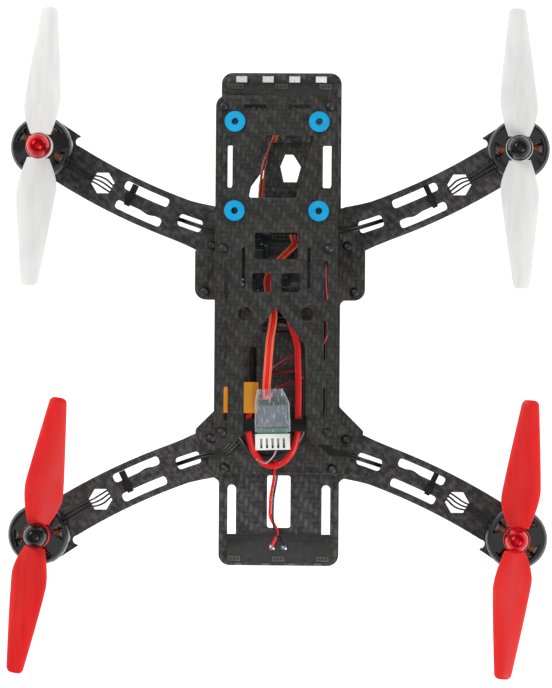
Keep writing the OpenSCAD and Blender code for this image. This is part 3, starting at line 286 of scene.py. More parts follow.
LOOKS = {
    "carbon_plate": carbon("carbon_plate_look", 2.05 * MM, rgb(30, 30, 29), rgb(72, 71, 68), 0.2),
    "carbon_arm": carbon("carbon_arm_look", 1.0 * MM, rgb(36, 35, 35), rgb(82, 79, 80), 0.5),
    "damper_rubber": coated("damper_look", rgb(0, 146, 198), rgb(4, 168, 222), 0.55, grain=300.0,
                            Specular_IOR_Level=0.25),
    "black_hardware": coated("black_hardware_look", rgb(52, 52, 54), rgb(84, 84, 87), 0.26, metal=0.85,
                             grain=260.0),
    "bright_metal": turned("bright_metal_look", rgb(150, 152, 156), rgb(222, 224, 228), 0.24),
    "motor_black": coated("motor_black_look", rgb(10, 10, 11), rgb(24, 24, 26), 0.2, metal=0.55,
                          grain=500.0, dent=0.004, Coat_Weight=0.5, Coat_Roughness=0.08),
    "stator_steel": turned("stator_steel_look", rgb(86, 88, 92), rgb(150, 152, 156), 0.35),
    "copper": coated("copper_look", rgb(250, 148, 104), rgb(255, 196, 152), 0.26, metal=0.3, grain=300.0),
    "magnet": coated("magnet_look", rgb(84, 85, 90), rgb(128, 130, 136), 0.34, metal=1.0),
    "prop_white": propeller_plastic("prop_white_look", rgb(212, 212, 212), rgb(222, 222, 221)),
    "prop_red": propeller_plastic("prop_red_look", rgb(204, 18, 18), rgb(216, 26, 24)),
    "nut_red": coated("nut_red_look", rgb(180, 6, 20), rgb(206, 14, 30), 0.2, metal=0.9, grain=300.0,
                      dent=0.004, Coat_Weight=0.1, Coat_Roughness=0.08),
    "nut_black": coated("nut_black_look", rgb(20, 20, 22), rgb(38, 38, 41), 0.2, metal=0.75, grain=300.0,
                        dent=0.004, Coat_Weight=0.1, Coat_Roughness=0.08),
    "light_board_black": circuit("light_board_look", rgb(13, 13, 14), rgb(40, 39, 36), 1.4 * MM,
                                 socket_z=3.4 * MM),
    "led_white": lamp("led_look"),
    "board_green": circuit("board_green_look", rgb(8, 52, 30), rgb(60, 130, 74), 0.75 * MM),
    "board_black": circuit("board_black_look", rgb(12, 16, 24), rgb(64, 72, 84), 0.9 * MM),
    "chip_black": coated("chip_look", rgb(20, 20, 21), rgb(38, 38, 40), 0.5, grain=600.0, dent=0.006),
    "plug_plastic": coated("plug_plastic_look", rgb(206, 206, 200), rgb(236, 236, 232), 0.36),
    "plug_black": coated("plug_black_look", rgb(16, 16, 17), rgb(34, 34, 36), 0.4, grain=300.0),
    "button_black": coated("button_look", rgb(18, 18, 19), rgb(34, 34, 36), 0.4),
    "capacitor_sleeve": coated("capacitor_look", rgb(12, 12, 16), rgb(24, 25, 32), 0.22,
                               Coat_Weight=0.5, Coat_Roughness=0.1),
    "nylon_natural": coated("nylon_look", rgb(206, 205, 196), rgb(232, 231, 224), 0.4,
                            Subsurface_Weight=0.15, Subsurface_Scale=1 * MM),
    "clear_sleeve": clear("clear_sleeve_look", rgb(214, 222, 230), 0.12, 0.06, 0.32),
    "cable_red": coated("cable_red_look", rgb(218, 12, 14), rgb(240, 30, 28), 0.32, grain=200.0,
                        Specular_IOR_Level=0.3, Coat_Weight=0.08),
    "plug_amber": coated("plug_amber_look", rgb(240, 146, 18), rgb(252, 174, 34), 0.34,
                         Subsurface_Weight=0.15, Subsurface_Scale=1 * MM),
    "tie_black": coated("tie_look", rgb(10, 10, 11), rgb(22, 22, 23), 0.6, grain=240.0,
                        Specular_IOR_Level=0.25),
}
# The top plate's copy of the laminate is painted darker as painted shade; the bottom plate's copy is
# coarser and painted paler as painted light
PLATE_LOOKS = {
    "top_plate": carbon("carbon_top_painted_shade_look", 2.05 * MM, rgb(23, 23, 22), rgb(62, 61, 58), 0.2),
    "bottom_plate": carbon("carbon_bottom_painted_light_look", 2.3 * MM, rgb(33, 33, 34), rgb(84, 83, 83), 0.2),
}
WIRE_LOOKS = {
    "red": LOOKS["cable_red"],
    "black": coated("wire_black_look", rgb(16, 16, 17), rgb(34, 33, 33), 0.38, grain=200.0,
                    Coat_Weight=0.25),
    "coral": coated("wire_coral_look", rgb(224, 74, 40), rgb(240, 104, 66), 0.38, grain=200.0,
                    Coat_Weight=0.25),
    "rust": coated("wire_rust_look", rgb(176, 66, 36), rgb(204, 94, 58), 0.4, grain=200.0, Coat_Weight=0.2),
    "grey": coated("wire_grey_look", rgb(150, 150, 156), rgb(206, 206, 212), 0.34, grain=200.0,
                   Coat_Weight=0.3),
}
SOLDER = coated("solder_look", rgb(150, 152, 156), rgb(206, 208, 212), 0.28, metal=1.0, grain=300.0)
GOLD = coated("gold_look", rgb(196, 150, 70), rgb(228, 188, 104), 0.25, metal=1.0, grain=300.0)
FILM = coated("film_look", rgb(70, 75, 84), rgb(120, 125, 134), 0.24, grain=160.0, Coat_Weight=0.5)
MINT = coated("mint_look", rgb(74, 118, 102), rgb(112, 156, 140), 0.35, grain=200.0)
TAN = coated("ceramic_look", rgb(120, 92, 62), rgb(158, 126, 90), 0.45, grain=300.0)


# ---- meshes ----

def make(name, verts, faces, look, smooth=True):
    """A mesh object from points in metres."""
    mesh = bpy.data.meshes.new(name)
    mesh.from_pydata([tuple(v) for v in verts], [], [tuple(f) for f in faces])
    mesh.materials.append(look)
    mesh.polygons.foreach_set("use_smooth", [smooth] * len(mesh.polygons))
    mesh.validate()
    o = bpy.data.objects.new(name, mesh)
    bpy.context.scene.collection.objects.link(o)
    return o


class Shape:
    """Collects several closed surfaces, in millimetres, into one object."""

    def __init__(self):
        self.verts, self.faces = [], []

    def add(self, verts, faces):
        base = len(self.verts)
        self.verts += [Vector(v) * MM for v in verts]
        self.faces += [[base + i for i in f] for f in faces]

    def rings(self, rings, close=True):
        """Skin over rings of equally many points, capped at both ends unless close is false."""
        n = len(rings[0])
        faces = [[a * n + k, a * n + (k + 1) % n, (a + 1) * n + (k + 1) % n, (a + 1) * n + k]
                 for a in range(len(rings) - 1) for k in range(n)]
        if close:
            faces += [list(range(n - 1, -1, -1)), [(len(rings) - 1) * n + k for k in range(n)]]
        self.add([p for r in rings for p in r], faces)

    def tube(self, path, r, sides):
        """A round tube along a path. Each ring is turned as little as the bends allow."""
        path = [Vector(p) for p in path]
        side = None
        rings = []
        for i, p in enumerate(path):
            t = (path[min(i + 1, len(path) - 1)] - path[max(i - 1, 0)]).normalized()
            if side is None:
                side = Vector((1, 0, 0)) if abs(t.z) > 0.9 else Vector((0, 0, 1))
            side = (side - t * t.dot(side)).normalized()
            w = t.cross(side)
            rings.append([p + r * (math.cos(a) * side + math.sin(a) * w)
                          for a in [2 * math.pi * k / sides for k in range(sides)]])
        self.rings(rings)

    def block(self, low, high, edge=0.12, move=None):
        """A box with small rounded edges; move places it."""
        (x0, y0, z0), (x1, y1, z1) = low, high
        e = min(edge, (x1 - x0) / 3, (y1 - y0) / 3, (z1 - z0) / 3)
        levels = [(z0, e), (z0 + 0.3 * e, 0.3 * e), (z0 + e, 0),
                  (z1 - e, 0), (z1 - 0.3 * e, 0.3 * e), (z1, e)]
        rings = []
        for z, inset in levels:
            a0, b0, a1, b1 = x0 + inset, y0 + inset, x1 - inset, y1 - inset
            c = max(e, 0.01)
            ring = [(a0 + c, b0), (a1 - c, b0), (a1 - 0.3 * c, b0 + 0.3 * c), (a1, b0 + c), (a1, b1 - c),
                    (a1 - 0.3 * c, b1 - 0.3 * c), (a1 - c, b1), (a0 + c, b1), (a0 + 0.3 * c, b1 - 0.3 * c),
                    (a0, b1 - c), (a0, b0 + c), (a0 + 0.3 * c, b0 + 0.3 * c)]
            rings.append([(move @ Vector((x, y, z))) if move else Vector((x, y, z)) for x, y in ring])
        self.rings(rings)

    def blob(self, at, size, n=10):
        """A solder blob: a low dome, a little uneven."""
        sx, sy, h = size
        rings = []
        for j in range(6):
            a = math.pi / 2 * j / 5.4
            rings.append([Vector(at) + Vector((sx * math.cos(b), sy * math.sin(b), 0)) * math.cos(a)
                          * (1 + 0.08 * math.sin(3 * b + at[0])) + Vector((0, 0, h * math.sin(a)))
                          for b in [2 * math.pi * i / n for i in range(n)]])
        self.rings(rings)

    def build(self, name, look, body, slot_name, *replaced):
        """Makes the object, rides it on a body and puts it in place of any CAD nodes named."""
        o = make(name, self.verts, self.faces, look)
        bm = bmesh.new()
        bm.from_mesh(o.data)
        bmesh.ops.recalc_face_normals(bm, faces=bm.faces)
        bm.to_mesh(o.data)
        bm.free()
        o.data.set_sharp_from_angle(angle=SHARP)
        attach(o, body)
        if replaced:
            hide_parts(*replaced)


# Width of the rounded edge of each CAD part, where it isn't the usual one
EDGES = {"bottom_plate": 0.15, "mid_plate": 0.12, "top_plate": 0.15, "camera_plate": 0.12,
         "vibration_dampers": 0.35, "standoffs": 0.2}
USUAL_EDGE = 0.1


def dress_cad():
    """Gives each CAD node its finish; the hard parts also get softly rounded edges."""
    slots = {p["node"]: p["material_slot"] for p in frame["record"]["subparts"]}
    for name, o in NODES.items():
        o.data.materials.clear()
        o.data.materials.append(PLATE_LOOKS.get(name, LOOKS[slots[name]]))
        o.data.polygons.foreach_set("use_smooth", [True] * len(o.data.polygons))
        weld = o.modifiers.new("weld", "WELD")
        weld.merge_threshold = WELD
        flat = o.modifiers.new("flat", "DECIMATE")
        flat.decimate_type = "DISSOLVE"
        flat.angle_limit = math.radians(0.6)
        bevel = o.modifiers.new("edges", "BEVEL")
        bevel.width = EDGES.get(name, USUAL_EDGE) * MM
        bevel.segments = 2
        bevel.limit_method = "ANGLE"
        bevel.angle_limit = SHARP
        bevel.harden_normals = True
        bevel.use_clamp_overlap = True


# ---- propellers ----

PROP_R = 63.5
TIP_ROUND = 2.2  # radius of the rounded corners of a blade's tip
PITCH = 70.0  # how far a blade would move up in one turn
STEEPEST = math.tan(math.radians(23))  # slope of a blade next to its hub
SEAT_Z = 24.5  # top of the bell, where the hub sits
HUB_H = 7.0
HUB_R = 6.1
CORNERS = {"front_left": (-1, 1), "front_right": (1, 1), "rear_left": (-1, -1), "rear_right": (1, -1)}
MOTOR_X = 109.0
MOTOR_Y = 88.5


def edge_offset(r, root, widest, widest_r, tip):
    """How far a blade's edge lies from its middle line at radius r."""
    if r < widest_r:
        return root + (widest - root) * math.sin(math.pi / 2 * (r - HUB_R) / (widest_r - HUB_R))
    return widest + (tip - widest) * ((r - widest_r) / (PROP_R - widest_r)) ** 1.12


def blade_rings():
    """Closed rings round a blade from its root to its squared tip, in the blade's own frame."""
    stations = [5.4 + 0.9 * i for i in range(62)] + [61.3, 62.0, 62.5, 62.9, 63.2, 63.38, PROP_R]
    stations = sorted({round(s, 3) for s in stations if s <= PROP_R})
    n = 22
    rings = []
    for r in stations:
        d = max(0.0, r - (PROP_R - TIP_ROUND))
        cut = TIP_ROUND - math.sqrt(max(0.0, TIP_ROUND ** 2 - d ** 2))
        x1 = -edge_offset(r, 5.0, 8.7, 19, 3.2) + cut
        x2 = edge_offset(r, 5.2, 8.7, 23, 4.2) - cut
        slope = min(STEEPEST, PITCH / (2 * math.pi * r))
        t = (1.7 - 0.9 * r / PROP_R) * (1 if d <= 0 else max(0.35, 1 - (d / TIP_ROUND) ** 3))
        ring = []
        for side in (1, -1):
            for k in range(n + 1):
                f = k / n if side > 0 else 1 - k / n
                if side < 0 and k in (0, n):
                    continue
                # points gather at the edges, which stay rounded
                f = 0.5 - 0.5 * math.cos(math.pi * f)
                x = x1 + (x2 - x1) * f
                skin = 0.15 * t * math.sin(math.pi * f) ** 0.4 if 0 < f < 1 else 0.0
                z = x * slope + t * (0.9 if side > 0 else -0.1) * math.sin(math.pi * f) + side * skin
                ring.append((x, r, z))
        rings.append(ring)
    return rings


def fuse(name, base, other, look, body, replaced):
    """Joins two meshes into one solid, which replaces a CAD node."""
    mod = base.modifiers.new("join", "BOOLEAN")
    mod.operation = "UNION"
    mod.solver = "EXACT"
    mod.object = other
    bpy.context.view_layer.update()
    mesh = bpy.data.meshes.new_from_object(base.evaluated_get(bpy.context.evaluated_depsgraph_get()))
    for o in (base, other):
        bpy.data.objects.remove(o)
    mesh.name = name
    mesh.materials.clear()
    mesh.materials.append(look)
    mesh.polygons.foreach_set("use_smooth", [True] * len(mesh.polygons))
    mesh.set_sharp_from_angle(angle=math.radians(36))
    o = bpy.data.objects.new(name, mesh)
    bpy.context.scene.collection.objects.link(o)
    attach(o, body)
    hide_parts(replaced)


def propeller(corner, park, hand, slot_name):
    """One propeller, parked at an angle in degrees. hand is 1 or -1, the way its blades are twisted."""
    sx, sy = CORNERS[corner]
    at = Vector((sx * MOTOR_X, sy * MOTOR_Y, 0))
    turn = Matrix.Rotation(math.radians(park), 3, "Z")
    blades = Shape()
    for half in (1, -1):
        blades.rings([[at + turn @ Vector((half * x * hand, half * y, z + SEAT_Z + HUB_H / 2 - 0.4))
                       for x, y, z in ring] for ring in blade_rings()])
    hub = Shape()
    bore_r, top = 2.5, SEAT_Z + HUB_H
    profile = [(bore_r, SEAT_Z), (HUB_R - 0.5, SEAT_Z), (HUB_R - 0.15, SEAT_Z + 0.15),
               (HUB_R, SEAT_Z + 0.5), (HUB_R, top - 0.6), (HUB_R - 0.18, top - 0.2),
               (HUB_R - 0.6, top), (bore_r, top)]
    n = 48
    rings = [[at + Vector((r * math.cos(2 * math.pi * k / n), r * math.sin(2 * math.pi * k / n), z))
              for k in range(n)] for r, z in profile]
    rings.append(rings[0])
    hub.rings(rings, close=False)
    parts = []
    for shape, kind in ((hub, "hub"), (blades, "blades")):
        o = make(f"{kind}_{corner}", shape.verts, shape.faces, LOOKS[slot_name])
        bm = bmesh.new()
        bm.from_mesh(o.data)
        bmesh.ops.remove_doubles(bm, verts=bm.verts, dist=0.0005 * MM)
        bmesh.ops.recalc_face_normals(bm, faces=bm.faces)
        bm.to_mesh(o.data)
        bm.free()
        parts.append(o)
    fuse(f"moulded_propeller_{corner}", parts[0], parts[1], LOOKS[slot_name],
         f"rotor_{corner}", f"propeller_{corner}")


# ---- coils ----

TEETH = 12
STEM_Z = 13.2  # middle of a stator tooth's stem
STEM_HALF_W, STEM_HALF_H = 1.1, 3.0
COIL_IN, COIL_OUT = 6.42, 9.36  # where the winding starts and ends, from the motor's axis
COIL_WIRE_R = 0.27


def coils():
    """Copper wire wound round the stem of every tooth, two layers deep at the rim."""
    shape = Shape()
    steps = 12
    for sx, sy in CORNERS.values():
        centre = Vector((sx * MOTOR_X, sy * MOTOR_Y, STEM_Z))
        for tooth in range(TEETH):
            turn = Matrix.Rotation(2 * math.pi * tooth / TEETH, 3, "Z")
            for layer, turns in ((0, 6), (1, 5)):
                path = []
                for i in range(turns * steps + 1):
                    radial = COIL_IN + (COIL_OUT - COIL_IN) * i / (turns * steps) + 0.2 * layer
                    angle = 2 * math.pi * i / steps
                    spread = layer * 0.46
                    swell = min(1, max(0, (radial - 6.9) / 1.2))
                    half_w = STEM_HALF_W + 0.03 + COIL_WIRE_R + spread * swell
                    half_h = STEM_HALF_H + 0.03 + COIL_WIRE_R + spread * 0.9
                    # a rounded rectangle round the stem
                    c, s = math.cos(angle), math.sin(angle)
                    path.append(centre + turn @ Vector((radial, half_w * math.copysign(abs(c) ** 0.35, c),
                                                        half_h * math.copysign(abs(s) ** 0.35, s))))
                shape.tube(path, COIL_WIRE_R, 5)
    shape.build("wound_coils", LOOKS["copper"], "airframe", "copper", "windings")


# ---- wires ----

def loose_parts(node):
    """The separate pieces of a CAD node, as (vertices, faces), welded."""
    bm = bmesh.new()
    bm.from_mesh(NODES[node].data)
    bmesh.ops.remove_doubles(bm, verts=bm.verts, dist=WELD)
    bmesh.ops.dissolve_limit(bm, angle_limit=math.radians(0.05), verts=bm.verts, edges=bm.edges)
    bm.verts.ensure_lookup_table()
    seen, parts = set(), []
    for v in bm.verts:
        if v.index in seen:
            continue
        stack, group = [v], []
        seen.add(v.index)
        while stack:
            w = stack.pop()
            group.append(w)
            for e in w.link_edges:
                x = e.other_vert(w)
                if x.index not in seen:
                    seen.add(x.index)
                    stack.append(x)
        ids = {w.index: i for i, w in enumerate(group)}
        faces = {f for w in group for f in w.link_faces}
        parts.append(([w.co.copy() for w in group],
                      [[ids[q.index] for q in f.verts] for f in faces]))
    bm.free()
    return parts


def insulated(name, node, parts, colour):
    """An object made of some of a CAD node's loose parts, in the colour of their insulation."""
    verts, faces = [], []
    for vs, fs in parts:
        faces += [[len(verts) + i for i in f] for f in fs]
        verts += vs
    o = make(name, verts, faces, WIRE_LOOKS[colour])
    o.data.set_sharp_from_angle(angle=math.radians(70))
    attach(o, "airframe")
    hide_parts(node)


def middle_x(part):
    xs = [v.x for v in part[0]]
    return (min(xs) + max(xs)) / 2 / MM


def mean_x(part, low_y, high_y):
    """The mean x, in metres, of the points of a part that lie between two y values."""
    xs = [v.x for v in part[0] if low_y * MM < v.y < high_y * MM]
    return sum(xs) / len(xs) if xs else 0.0


def eased(path, reach, n=6):
    """Rounds the corners of a path with short curves that start and end a reach away from each."""
    path = [Vector(p) for p in path]
    out = [path[0]]
    for before, at, after in zip(path, path[1:], path[2:]):
        a = at + (before - at).normalized() * min(reach, (before - at).length / 2.1)
        b = at + (after - at).normalized() * min(reach, (after - at).length / 2.1)
        out += [a * (1 - f) ** 2 + at * 2 * f * (1 - f) + b * f * f
                for f in [k / n for k in range(n + 1)]]
    return out + [path[-1]]


def rear_light_path(k):
    """From the rear light board, under the plates and round the stack to the power board."""
    d, z = 0.65 * k, 10.9 + 0.65 * k
    return [(-0.1 + 2.8 * k, -93.8, 4), (-0.7 - 0.8 * k, -87.4, 4.6 + d), (-3.3 + d, -80, 4.8),
            (-2.9 + d, -71, 5.6), (-1.2 + d, -62.4, 9), (-0.8 + d, -56, 9.2), (-2, -44, 9 + d),
            (-3.4, -30, 9.4 + d), (-2, -21.6, z), (3, -19.4, z), (9.4, -17.4, z), (11.6, -14.8, z),
            (8, -12.9, z), (1, -14, z), (-3.6, -13.6, z), (-2.3, -11.6, z), (5, -6.8, z + 1),
            (13, -4, z + 2.6),
            (19.6, -1.4, z + 6), (22.2, 3, z + 11), (22.4, 10, z + 15), (22, 19.4, z + 16),
            (21.3, 28.3, z + 16), (21.3, 35.4, z + 14), (19.8, 37.6, z + 8), (17.6, 36.6, 14 + d),
            (15.8 + d, 34.6, 13.3)]


def front_light_path(k):
    """From the front light board over the front opening to the power board."""
    d = 0.75 * k
    return [(-1 + d, 109.6, 4.4), (-1.4 + d, 103, 7), (-1.6 + d, 95, 15), (-7 + d, 80, 19),
            (-8.6 + d, 66, 16), (-7 + d, 54.4, 14.4), (-6 + d, 51, 13.3), (-6 + d, 47.5, 13.3)]


def ribbon_path(k):
    """From the receiver's connector forward and down to the flight controller's plug."""
    d = 1.25 * k
    return [(-4 + d, -25.9, 40.4), (-4.2 + d, -20, 40.2), (-3.4 + d, -7.7, 39.6), (-2.8 + d, 1.3, 38.6),
            (-1.6 + d, 9, 38), (-1.4 + d, 14.6, 37.4), (-3.4 + d, 21, 36.4), (-4.4 + d, 27.6, 35),
            (-3 + d, 32.5, 33.6), (0.6 + d, 37, 32.2), (5 + d, 41.4, 31.2), (8.4 + d, 44.6, 30.4),
            (7.5 + 1.8 * k, 47.6, 28.8), (7.5 + 1.8 * k, 48.7, 26.5)]


def cable(name, path, r, colour, slot_name, node):
    shape = Shape()
    shape.tube(path, r, 12)
    shape.build(name, WIRE_LOOKS[colour], "airframe", slot_name, node)


def wires():
    """The motor and battery wires keep their CAD shape; the light boards' wires are drawn again."""
    half_body = 25
    motor = [p for p in loose_parts("signal_wires") if abs(middle_x(p)) > half_body]
    insulated("motor_wires", "signal_wires", motor, "black")
    for k, colour, r, slot_name in ((-1, "red", 0.72, "cable_red"), (1, "black", 0.5, "tie_black")):
        cable(f"rear_light_wire_{colour}", eased(rear_light_path(k), 2), r, colour, slot_name,
              "signal_wires")
    for k, name in ((-1, "a"), (1, "b")):
        cable(f"front_light_wire_{name}", eased(front_light_path(k), 3), 0.62, "rust", "cable_red",
              "signal_wires")
    # the black battery wire is the one further to the left where the two leave the plug
    power = sorted(loose_parts("battery_wires"), key=lambda p: mean_x(p, -40, -34))
    insulated("battery_wire_black", "battery_wires", power[:1], "black")
    insulated("battery_wire_red", "battery_wires", power[1:], "red")


def ribbon():
    """The receiver's three wires lie side by side; a grey aerial leaves its rear."""
    parts = loose_parts("receiver_cable")
    aerial = [p for p in parts if max(v.y for v in p[0]) < -45 * MM]
    insulated("aerial", "receiver_cable", aerial, "grey")
    for k, colour in ((-1, "coral"), (0, "red"), (1, "coral")):
        cable(f"ribbon_wire_{k + 2}", eased(ribbon_path(k), 2.4), 0.62, colour, "cable_red",
              "receiver_cable")


# ---- receiver ----

def receiver_place():
    """Places the receiver's own frame, which is turned a little, in the model."""
    return Matrix.Translation((-1.4, -33, 38.4)) @ Matrix.Rotation(math.radians(1.5), 4, "Z")


def receiver_sleeve():
    """Clear shrink tube: flat over the board, drawn in and wrinkled where the cable leaves."""
    place = receiver_place()
    noise = random.Random(3)
    waves = [(noise.uniform(0.5, 1.6), noise.uniform(0, 6.3), noise.uniform(1, 5)) for _ in range(9)]
    rings = []
    n = 56
    rear_y, length, wall = -7.4, 19.4, 0.22
    steps = 46
    for i in range(steps + 1):
        f = i / steps
        y = rear_y + length * f
        pinch = max(0.0, (f - 0.66) / 0.34)
        half_w = 8.0 - 2.2 * pinch + 0.1 * math.sin(9 * f)
        half_h = 2.5 - 0.55 * pinch
        ring = []
        for k in range(n):
            a = 2 * math.pi * k / n
            c, s = math.cos(a), math.sin(a)
            ripple = sum(math.sin(w * y + ph + m * a) for w, ph, m in waves) / 9
            grow = 1 - 0.035 * abs(ripple) - 0.06 * pinch * abs(math.sin(5 * a + 2 * y))
            x = half_w * math.copysign(abs(c) ** 0.42, c) * grow - 0.9 * pinch
            z = 1.1 + half_h * math.copysign(abs(s) ** 0.55, s) * grow
            ring.append(place @ Vector((x, y, z)))
        rings.append(ring)
    # the wall is folded back inside so that the tube is a closed skin with a thickness
    inner = [[p + (c - p).normalized() * wall for p in ring]
             for ring, c in ((r, sum(r, Vector()) / n) for r in rings)]
    shape = Shape()
    shape.rings(rings + inner[::-1] + [rings[0]], close=False)
    shape.build("shrunk_sleeve", LOOKS["clear_sleeve"], "airframe", "clear_sleeve", "receiver_sleeve")


def receiver_insides():
    """Small parts, film, header strip and pins on the receiver's board."""
    place = receiver_place()
    board_top, pin_pitch = 1.0, 2.54
    s = Shape()
    for x, y, w, d, h in ((-5.6, -6.6, 2.4, 1.6, 0.8), (-2.2, 6.9, 1.2, 0.8, 0.6),
                          (0.6, 6.9, 1.2, 0.8, 0.6), (3.6, 4.6, 2.8, 2.6, 1.1),
                          (4.6, -2.4, 1.6, 3.2, 0.9), (4.6, -7.0, 1.8, 1.8, 0.7)):
        s.block((x - w / 2, y - d / 2, board_top), (x + w / 2, y + d / 2, board_top + h), move=place)
    s.build("receiver_small_parts", LOOKS["chip_black"], "airframe", "chip_black")
    # a grey film, left blank, lies over the chips; pale pads show between it and the connector
    film = Shape()
    film.block((-6.6, -5.2, 2.5), (6.5, 4.6, 2.62), 0.1, move=place)
    film.build("receiver_film", FILM, "airframe", "chip_black")
    strip = Shape()
    strip.block((-6.9, -8.1, 1.05), (6.9, -5.6, 1.9), 0.2, move=place)
    strip.build("receiver_header_strip", MINT, "airframe", "board_green")
    pins = Shape()
    for k in range(-2, 3):
        x = k * pin_pitch
        pins.block((x - 0.3, -14.5, 2.3), (x + 0.3, -13.3, 3.6), 0.08, move=place)
        pins.blob(place @ Vector((x, -6.7, board_top)), (0.55, 0.55, 0.5))
    pins.build("receiver_pins", LOOKS["chip_black"], "airframe", "chip_black")


# ---- boards ----

def light_board_details():
    """Solder and small resistors on the two light boards."""
    parts, metal = Shape(), Shape()
    top = 3.2
    # where the resistors stand, how far they are off the middle, and the wires' solder points
    for resistor_y, shift, joints in ((119.0, 0.6, ((-0.98, 109.9), (0.98, 109.9))),
                                      (-100.1, -0.4, ((-2.9, -94.3), (2.7, -94.3)))):
        for k in (-1, 0, 1):
            x = k * 12.2 + shift
            parts.block((x - 0.8, resistor_y - 0.4, top), (x + 0.8, resistor_y + 0.4, top + 0.5))
        for x, y in joints:
            metal.blob((x, y, top - 0.02), (1.7, 1.8, 1.3), n=20)
    metal.build("light_board_solder", SOLDER, "airframe", "bright_metal")
    parts.build("light_board_resistors", LOOKS["chip_black"], "airframe", "chip_black")


STACK_Y = 34  # middle of the stacked boards


def board_details():
    """Pins, solder and small parts of the two stacked boards."""
    brain, power = 22.2, 12.6  # top faces of the flight controller and the power board
    metal, gold, tan, steel = Shape(), Shape(), Shape(), Shape()
    for side in (-1, 1):
        for k in range(-3, 4):
            x, y = k * 1.8 + (3.9 if side > 0 else 0), STACK_Y + side * 14.6
            gold.block((x - 0.2, y - 0.2, brain + 1.2), (x + 0.2, y + 0.2, brain + 2.6), 0.08)
        for k in range(5):
            y = STACK_Y - 7.6 + 2.4 * k + 5.6 * (side > 0)
            metal.blob((side * 16.4, y, brain), (0.7, 0.85, 0.34))
    leg_pitch = 0.8
    for chip_x, chip_y, legs, half in ((0, 0, 11, 4.5), (8.5, -5, 7, 1.75), (-9, 6, 5, 2.0)):
        for i in range(legs):
            x = chip_x + (i - (legs - 1) / 2) * leg_pitch
            for side in (-1, 1):
                y = STACK_Y + chip_y + side * half
                steel.block((x - 0.15, y - 0.3, brain), (x + 0.15, y + 0.3, brain + 0.28), 0.05)
    steel.block((-17.9, 30.7, brain + 0.5), (-12.7, 37.3, brain + 0.62), 0.05)
    rnd = random.Random(5)
    for i in range(26):
        x, y = rnd.uniform(-13, 13), rnd.uniform(-12, 12)
        if abs(x) < 8 and abs(y) < 8.5 or abs(y) > 11 or math.hypot(x - 14.4, y + 6) < 4:
            continue
        if any(abs(x - cx) < w and abs(y - cy) < w for cx, cy, w in
               ((-9, 6, 3.2), (9.5, 5.5, 4.2), (-9, -4, 2.8), (8.5, -5, 4.6))):
            continue
        y += STACK_Y
        tan.block((x - 0.5, y - 0.27, brain), (x + 0.5, y + 0.27, brain + 0.5))
        for side in (-1, 1):
            end_x = x + side * 0.42
            metal.block((end_x - 0.12, y - 0.29, brain), (end_x + 0.12, y + 0.29, brain + 0.52), 0.04)
    for sx in (-1, 1):
        for y in (42, 26):
            for k in (-1, 0, 1):
                x = sx * (16.4 + 0.6 * abs(k))
                away = 1 if y > STACK_Y else -1
                metal.blob((x, y + 1.6 * k * away, power), (1.1, 0.75, 0.75))
    for x in (4.4, 8.7):
        metal.blob((x, 21.2, power), (1.9, 2.0, 1.5))
    for x in (15.2, 16.5):
        metal.blob((x, 34.4, power), (0.6, 0.9, 0.7))
    metal.build("board_solder", SOLDER, "airframe", "bright_metal")
    gold.build("board_pins", GOLD, "airframe", "bright_metal")
    steel.build("chip_legs", SOLDER, "airframe", "bright_metal")
    tan.build("board_capacitors", TAN, "airframe", "chip_black")


def plug_contacts():
    """Sprung brass tubes inside the battery plug, and the ribs of its grip."""
    contacts = Shape()
    n = 24
    # radius and depth behind the plug's open end: down the outside, then back up the bore
    profile = ((2.2, 8.7), (2.2, 0.9), (2.05, 0.6), (1.6, 0.6), (1.5, 0.9), (1.5, 8.4), (2.2, 8.7))
    for x in (-20.2, -13.0):
        mouth = Vector((x, -18.2, 20))
        contacts.rings([[mouth + Vector((r * math.cos(a), -depth, r * math.sin(a)))
                         for a in [2 * math.pi * k / n for k in range(n)]] for r, depth in profile],
                       close=False)
    contacts.build("plug_contacts", GOLD, "airframe", "bright_metal")
    ribs = Shape()
    for i in range(4):
        y = -31.6 + 1.5 * i
        ribs.block((-24.55, y, 17.4), (-24.2, y + 0.7, 22.6), 0.15)
        ribs.block((-9.0, y, 18.6), (-8.66, y + 0.7, 21.4), 0.15)
    ribs.build("plug_ribs", LOOKS["plug_amber"], "airframe", "plug_amber")


# ---- stage ----

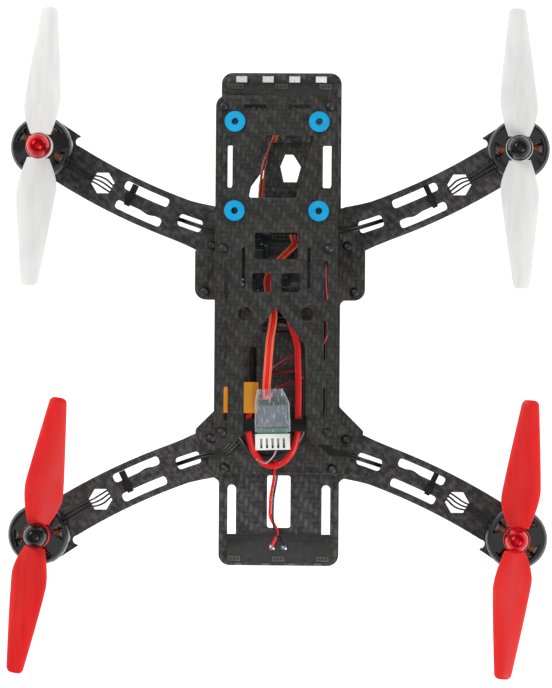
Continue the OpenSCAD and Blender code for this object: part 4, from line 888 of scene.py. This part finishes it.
def stage():
    """A white floor, two slanting lights, a weak one overhead, and a dim sky, all placed in metres."""
    f = Finish("floor_look", rough=0.9)
    f.put(f.bsdf.inputs["Base Color"], f.mix(f.noise(6.0, 2.0), (0.5, 0.5, 0.5, 1), (0.52, 0.52, 0.52, 1)))
    f.bump(f.noise(400.0), 0.02 * MM)
    f.put(f.bsdf.inputs["Emission Color"], (1, 1, 1, 1))
    f.put(f.bsdf.inputs["Emission Strength"], 0.86)
    z, reach = -60 * MM, 6
    corners = [(-reach, -reach, z), (reach, -reach, z), (reach, reach, z), (-reach, reach, z)]
    floor = make("floor", corners, [(0, 1, 2, 3)], f.mat, False)
    world = bpy.data.worlds.new("studio")
    world.use_nodes = True
    back = world.node_tree.nodes["Background"]
    back.inputs["Color"].default_value = (1, 1, 1, 1)
    back.inputs["Strength"].default_value = 0.36
    bpy.context.scene.world = world
    for name, at, size, power in (("left_key", (-1.15, 0.85, 1.05), 0.9, 18),
                                  ("right_key", (1.15, -0.85, 1.05), 0.9, 18),
                                  ("overhead", (0.15, -0.3, 1.6), 1.2, 3)):
        light = bpy.data.lights.new(name, "AREA")
        light.size = size
        light.energy = power
        o = bpy.data.objects.new(name, light)
        o.location = at
        o.rotation_euler = (Vector((0, 0, 0)) - Vector(at)).to_track_quat("-Z", "Y").to_euler()
        bpy.context.scene.collection.objects.link(o)


def camera():
    """Almost straight down, leaning a little to the right side."""
    lean = math.radians(2.64)
    roll = math.radians(0.42)
    aim, distance = Vector((-1.85, -0.75, 0)) * MM, 1.8
    back = Vector((math.sin(lean), 0, math.cos(lean)))
    right = Vector((math.cos(roll), math.sin(roll), 0))
    right = (right - back * right.dot(back)).normalized()
    up = back.cross(right)
    cam = bpy.data.cameras.new("camera")
    cam.lens = 204.5
    cam.sensor_width = 36
    cam.clip_end = 20
    o = bpy.data.objects.new("camera", cam)
    turn = Matrix((right, up, back)).transposed().to_4x4()
    o.matrix_world = Matrix.Translation(aim + back * distance) @ turn
    bpy.context.scene.collection.objects.link(o)
    bpy.context.scene.camera = o


# ---- the whole ----

dress_cad()
for corner, park, hand, slot_name in (("front_left", -3.5, 1, "prop_white"),
                                      ("front_right", 0.8, -1, "prop_white"),
                                      ("rear_left", -9.3, -1, "prop_red"),
                                      ("rear_right", -5.0, 1, "prop_red")):
    propeller(corner, park, hand, slot_name)
coils()
wires()
ribbon()
receiver_sleeve()
receiver_insides()
light_board_details()
board_details()
plug_contacts()
stage()
camera()
bpy.context.scene.view_settings.view_transform = "Standard"
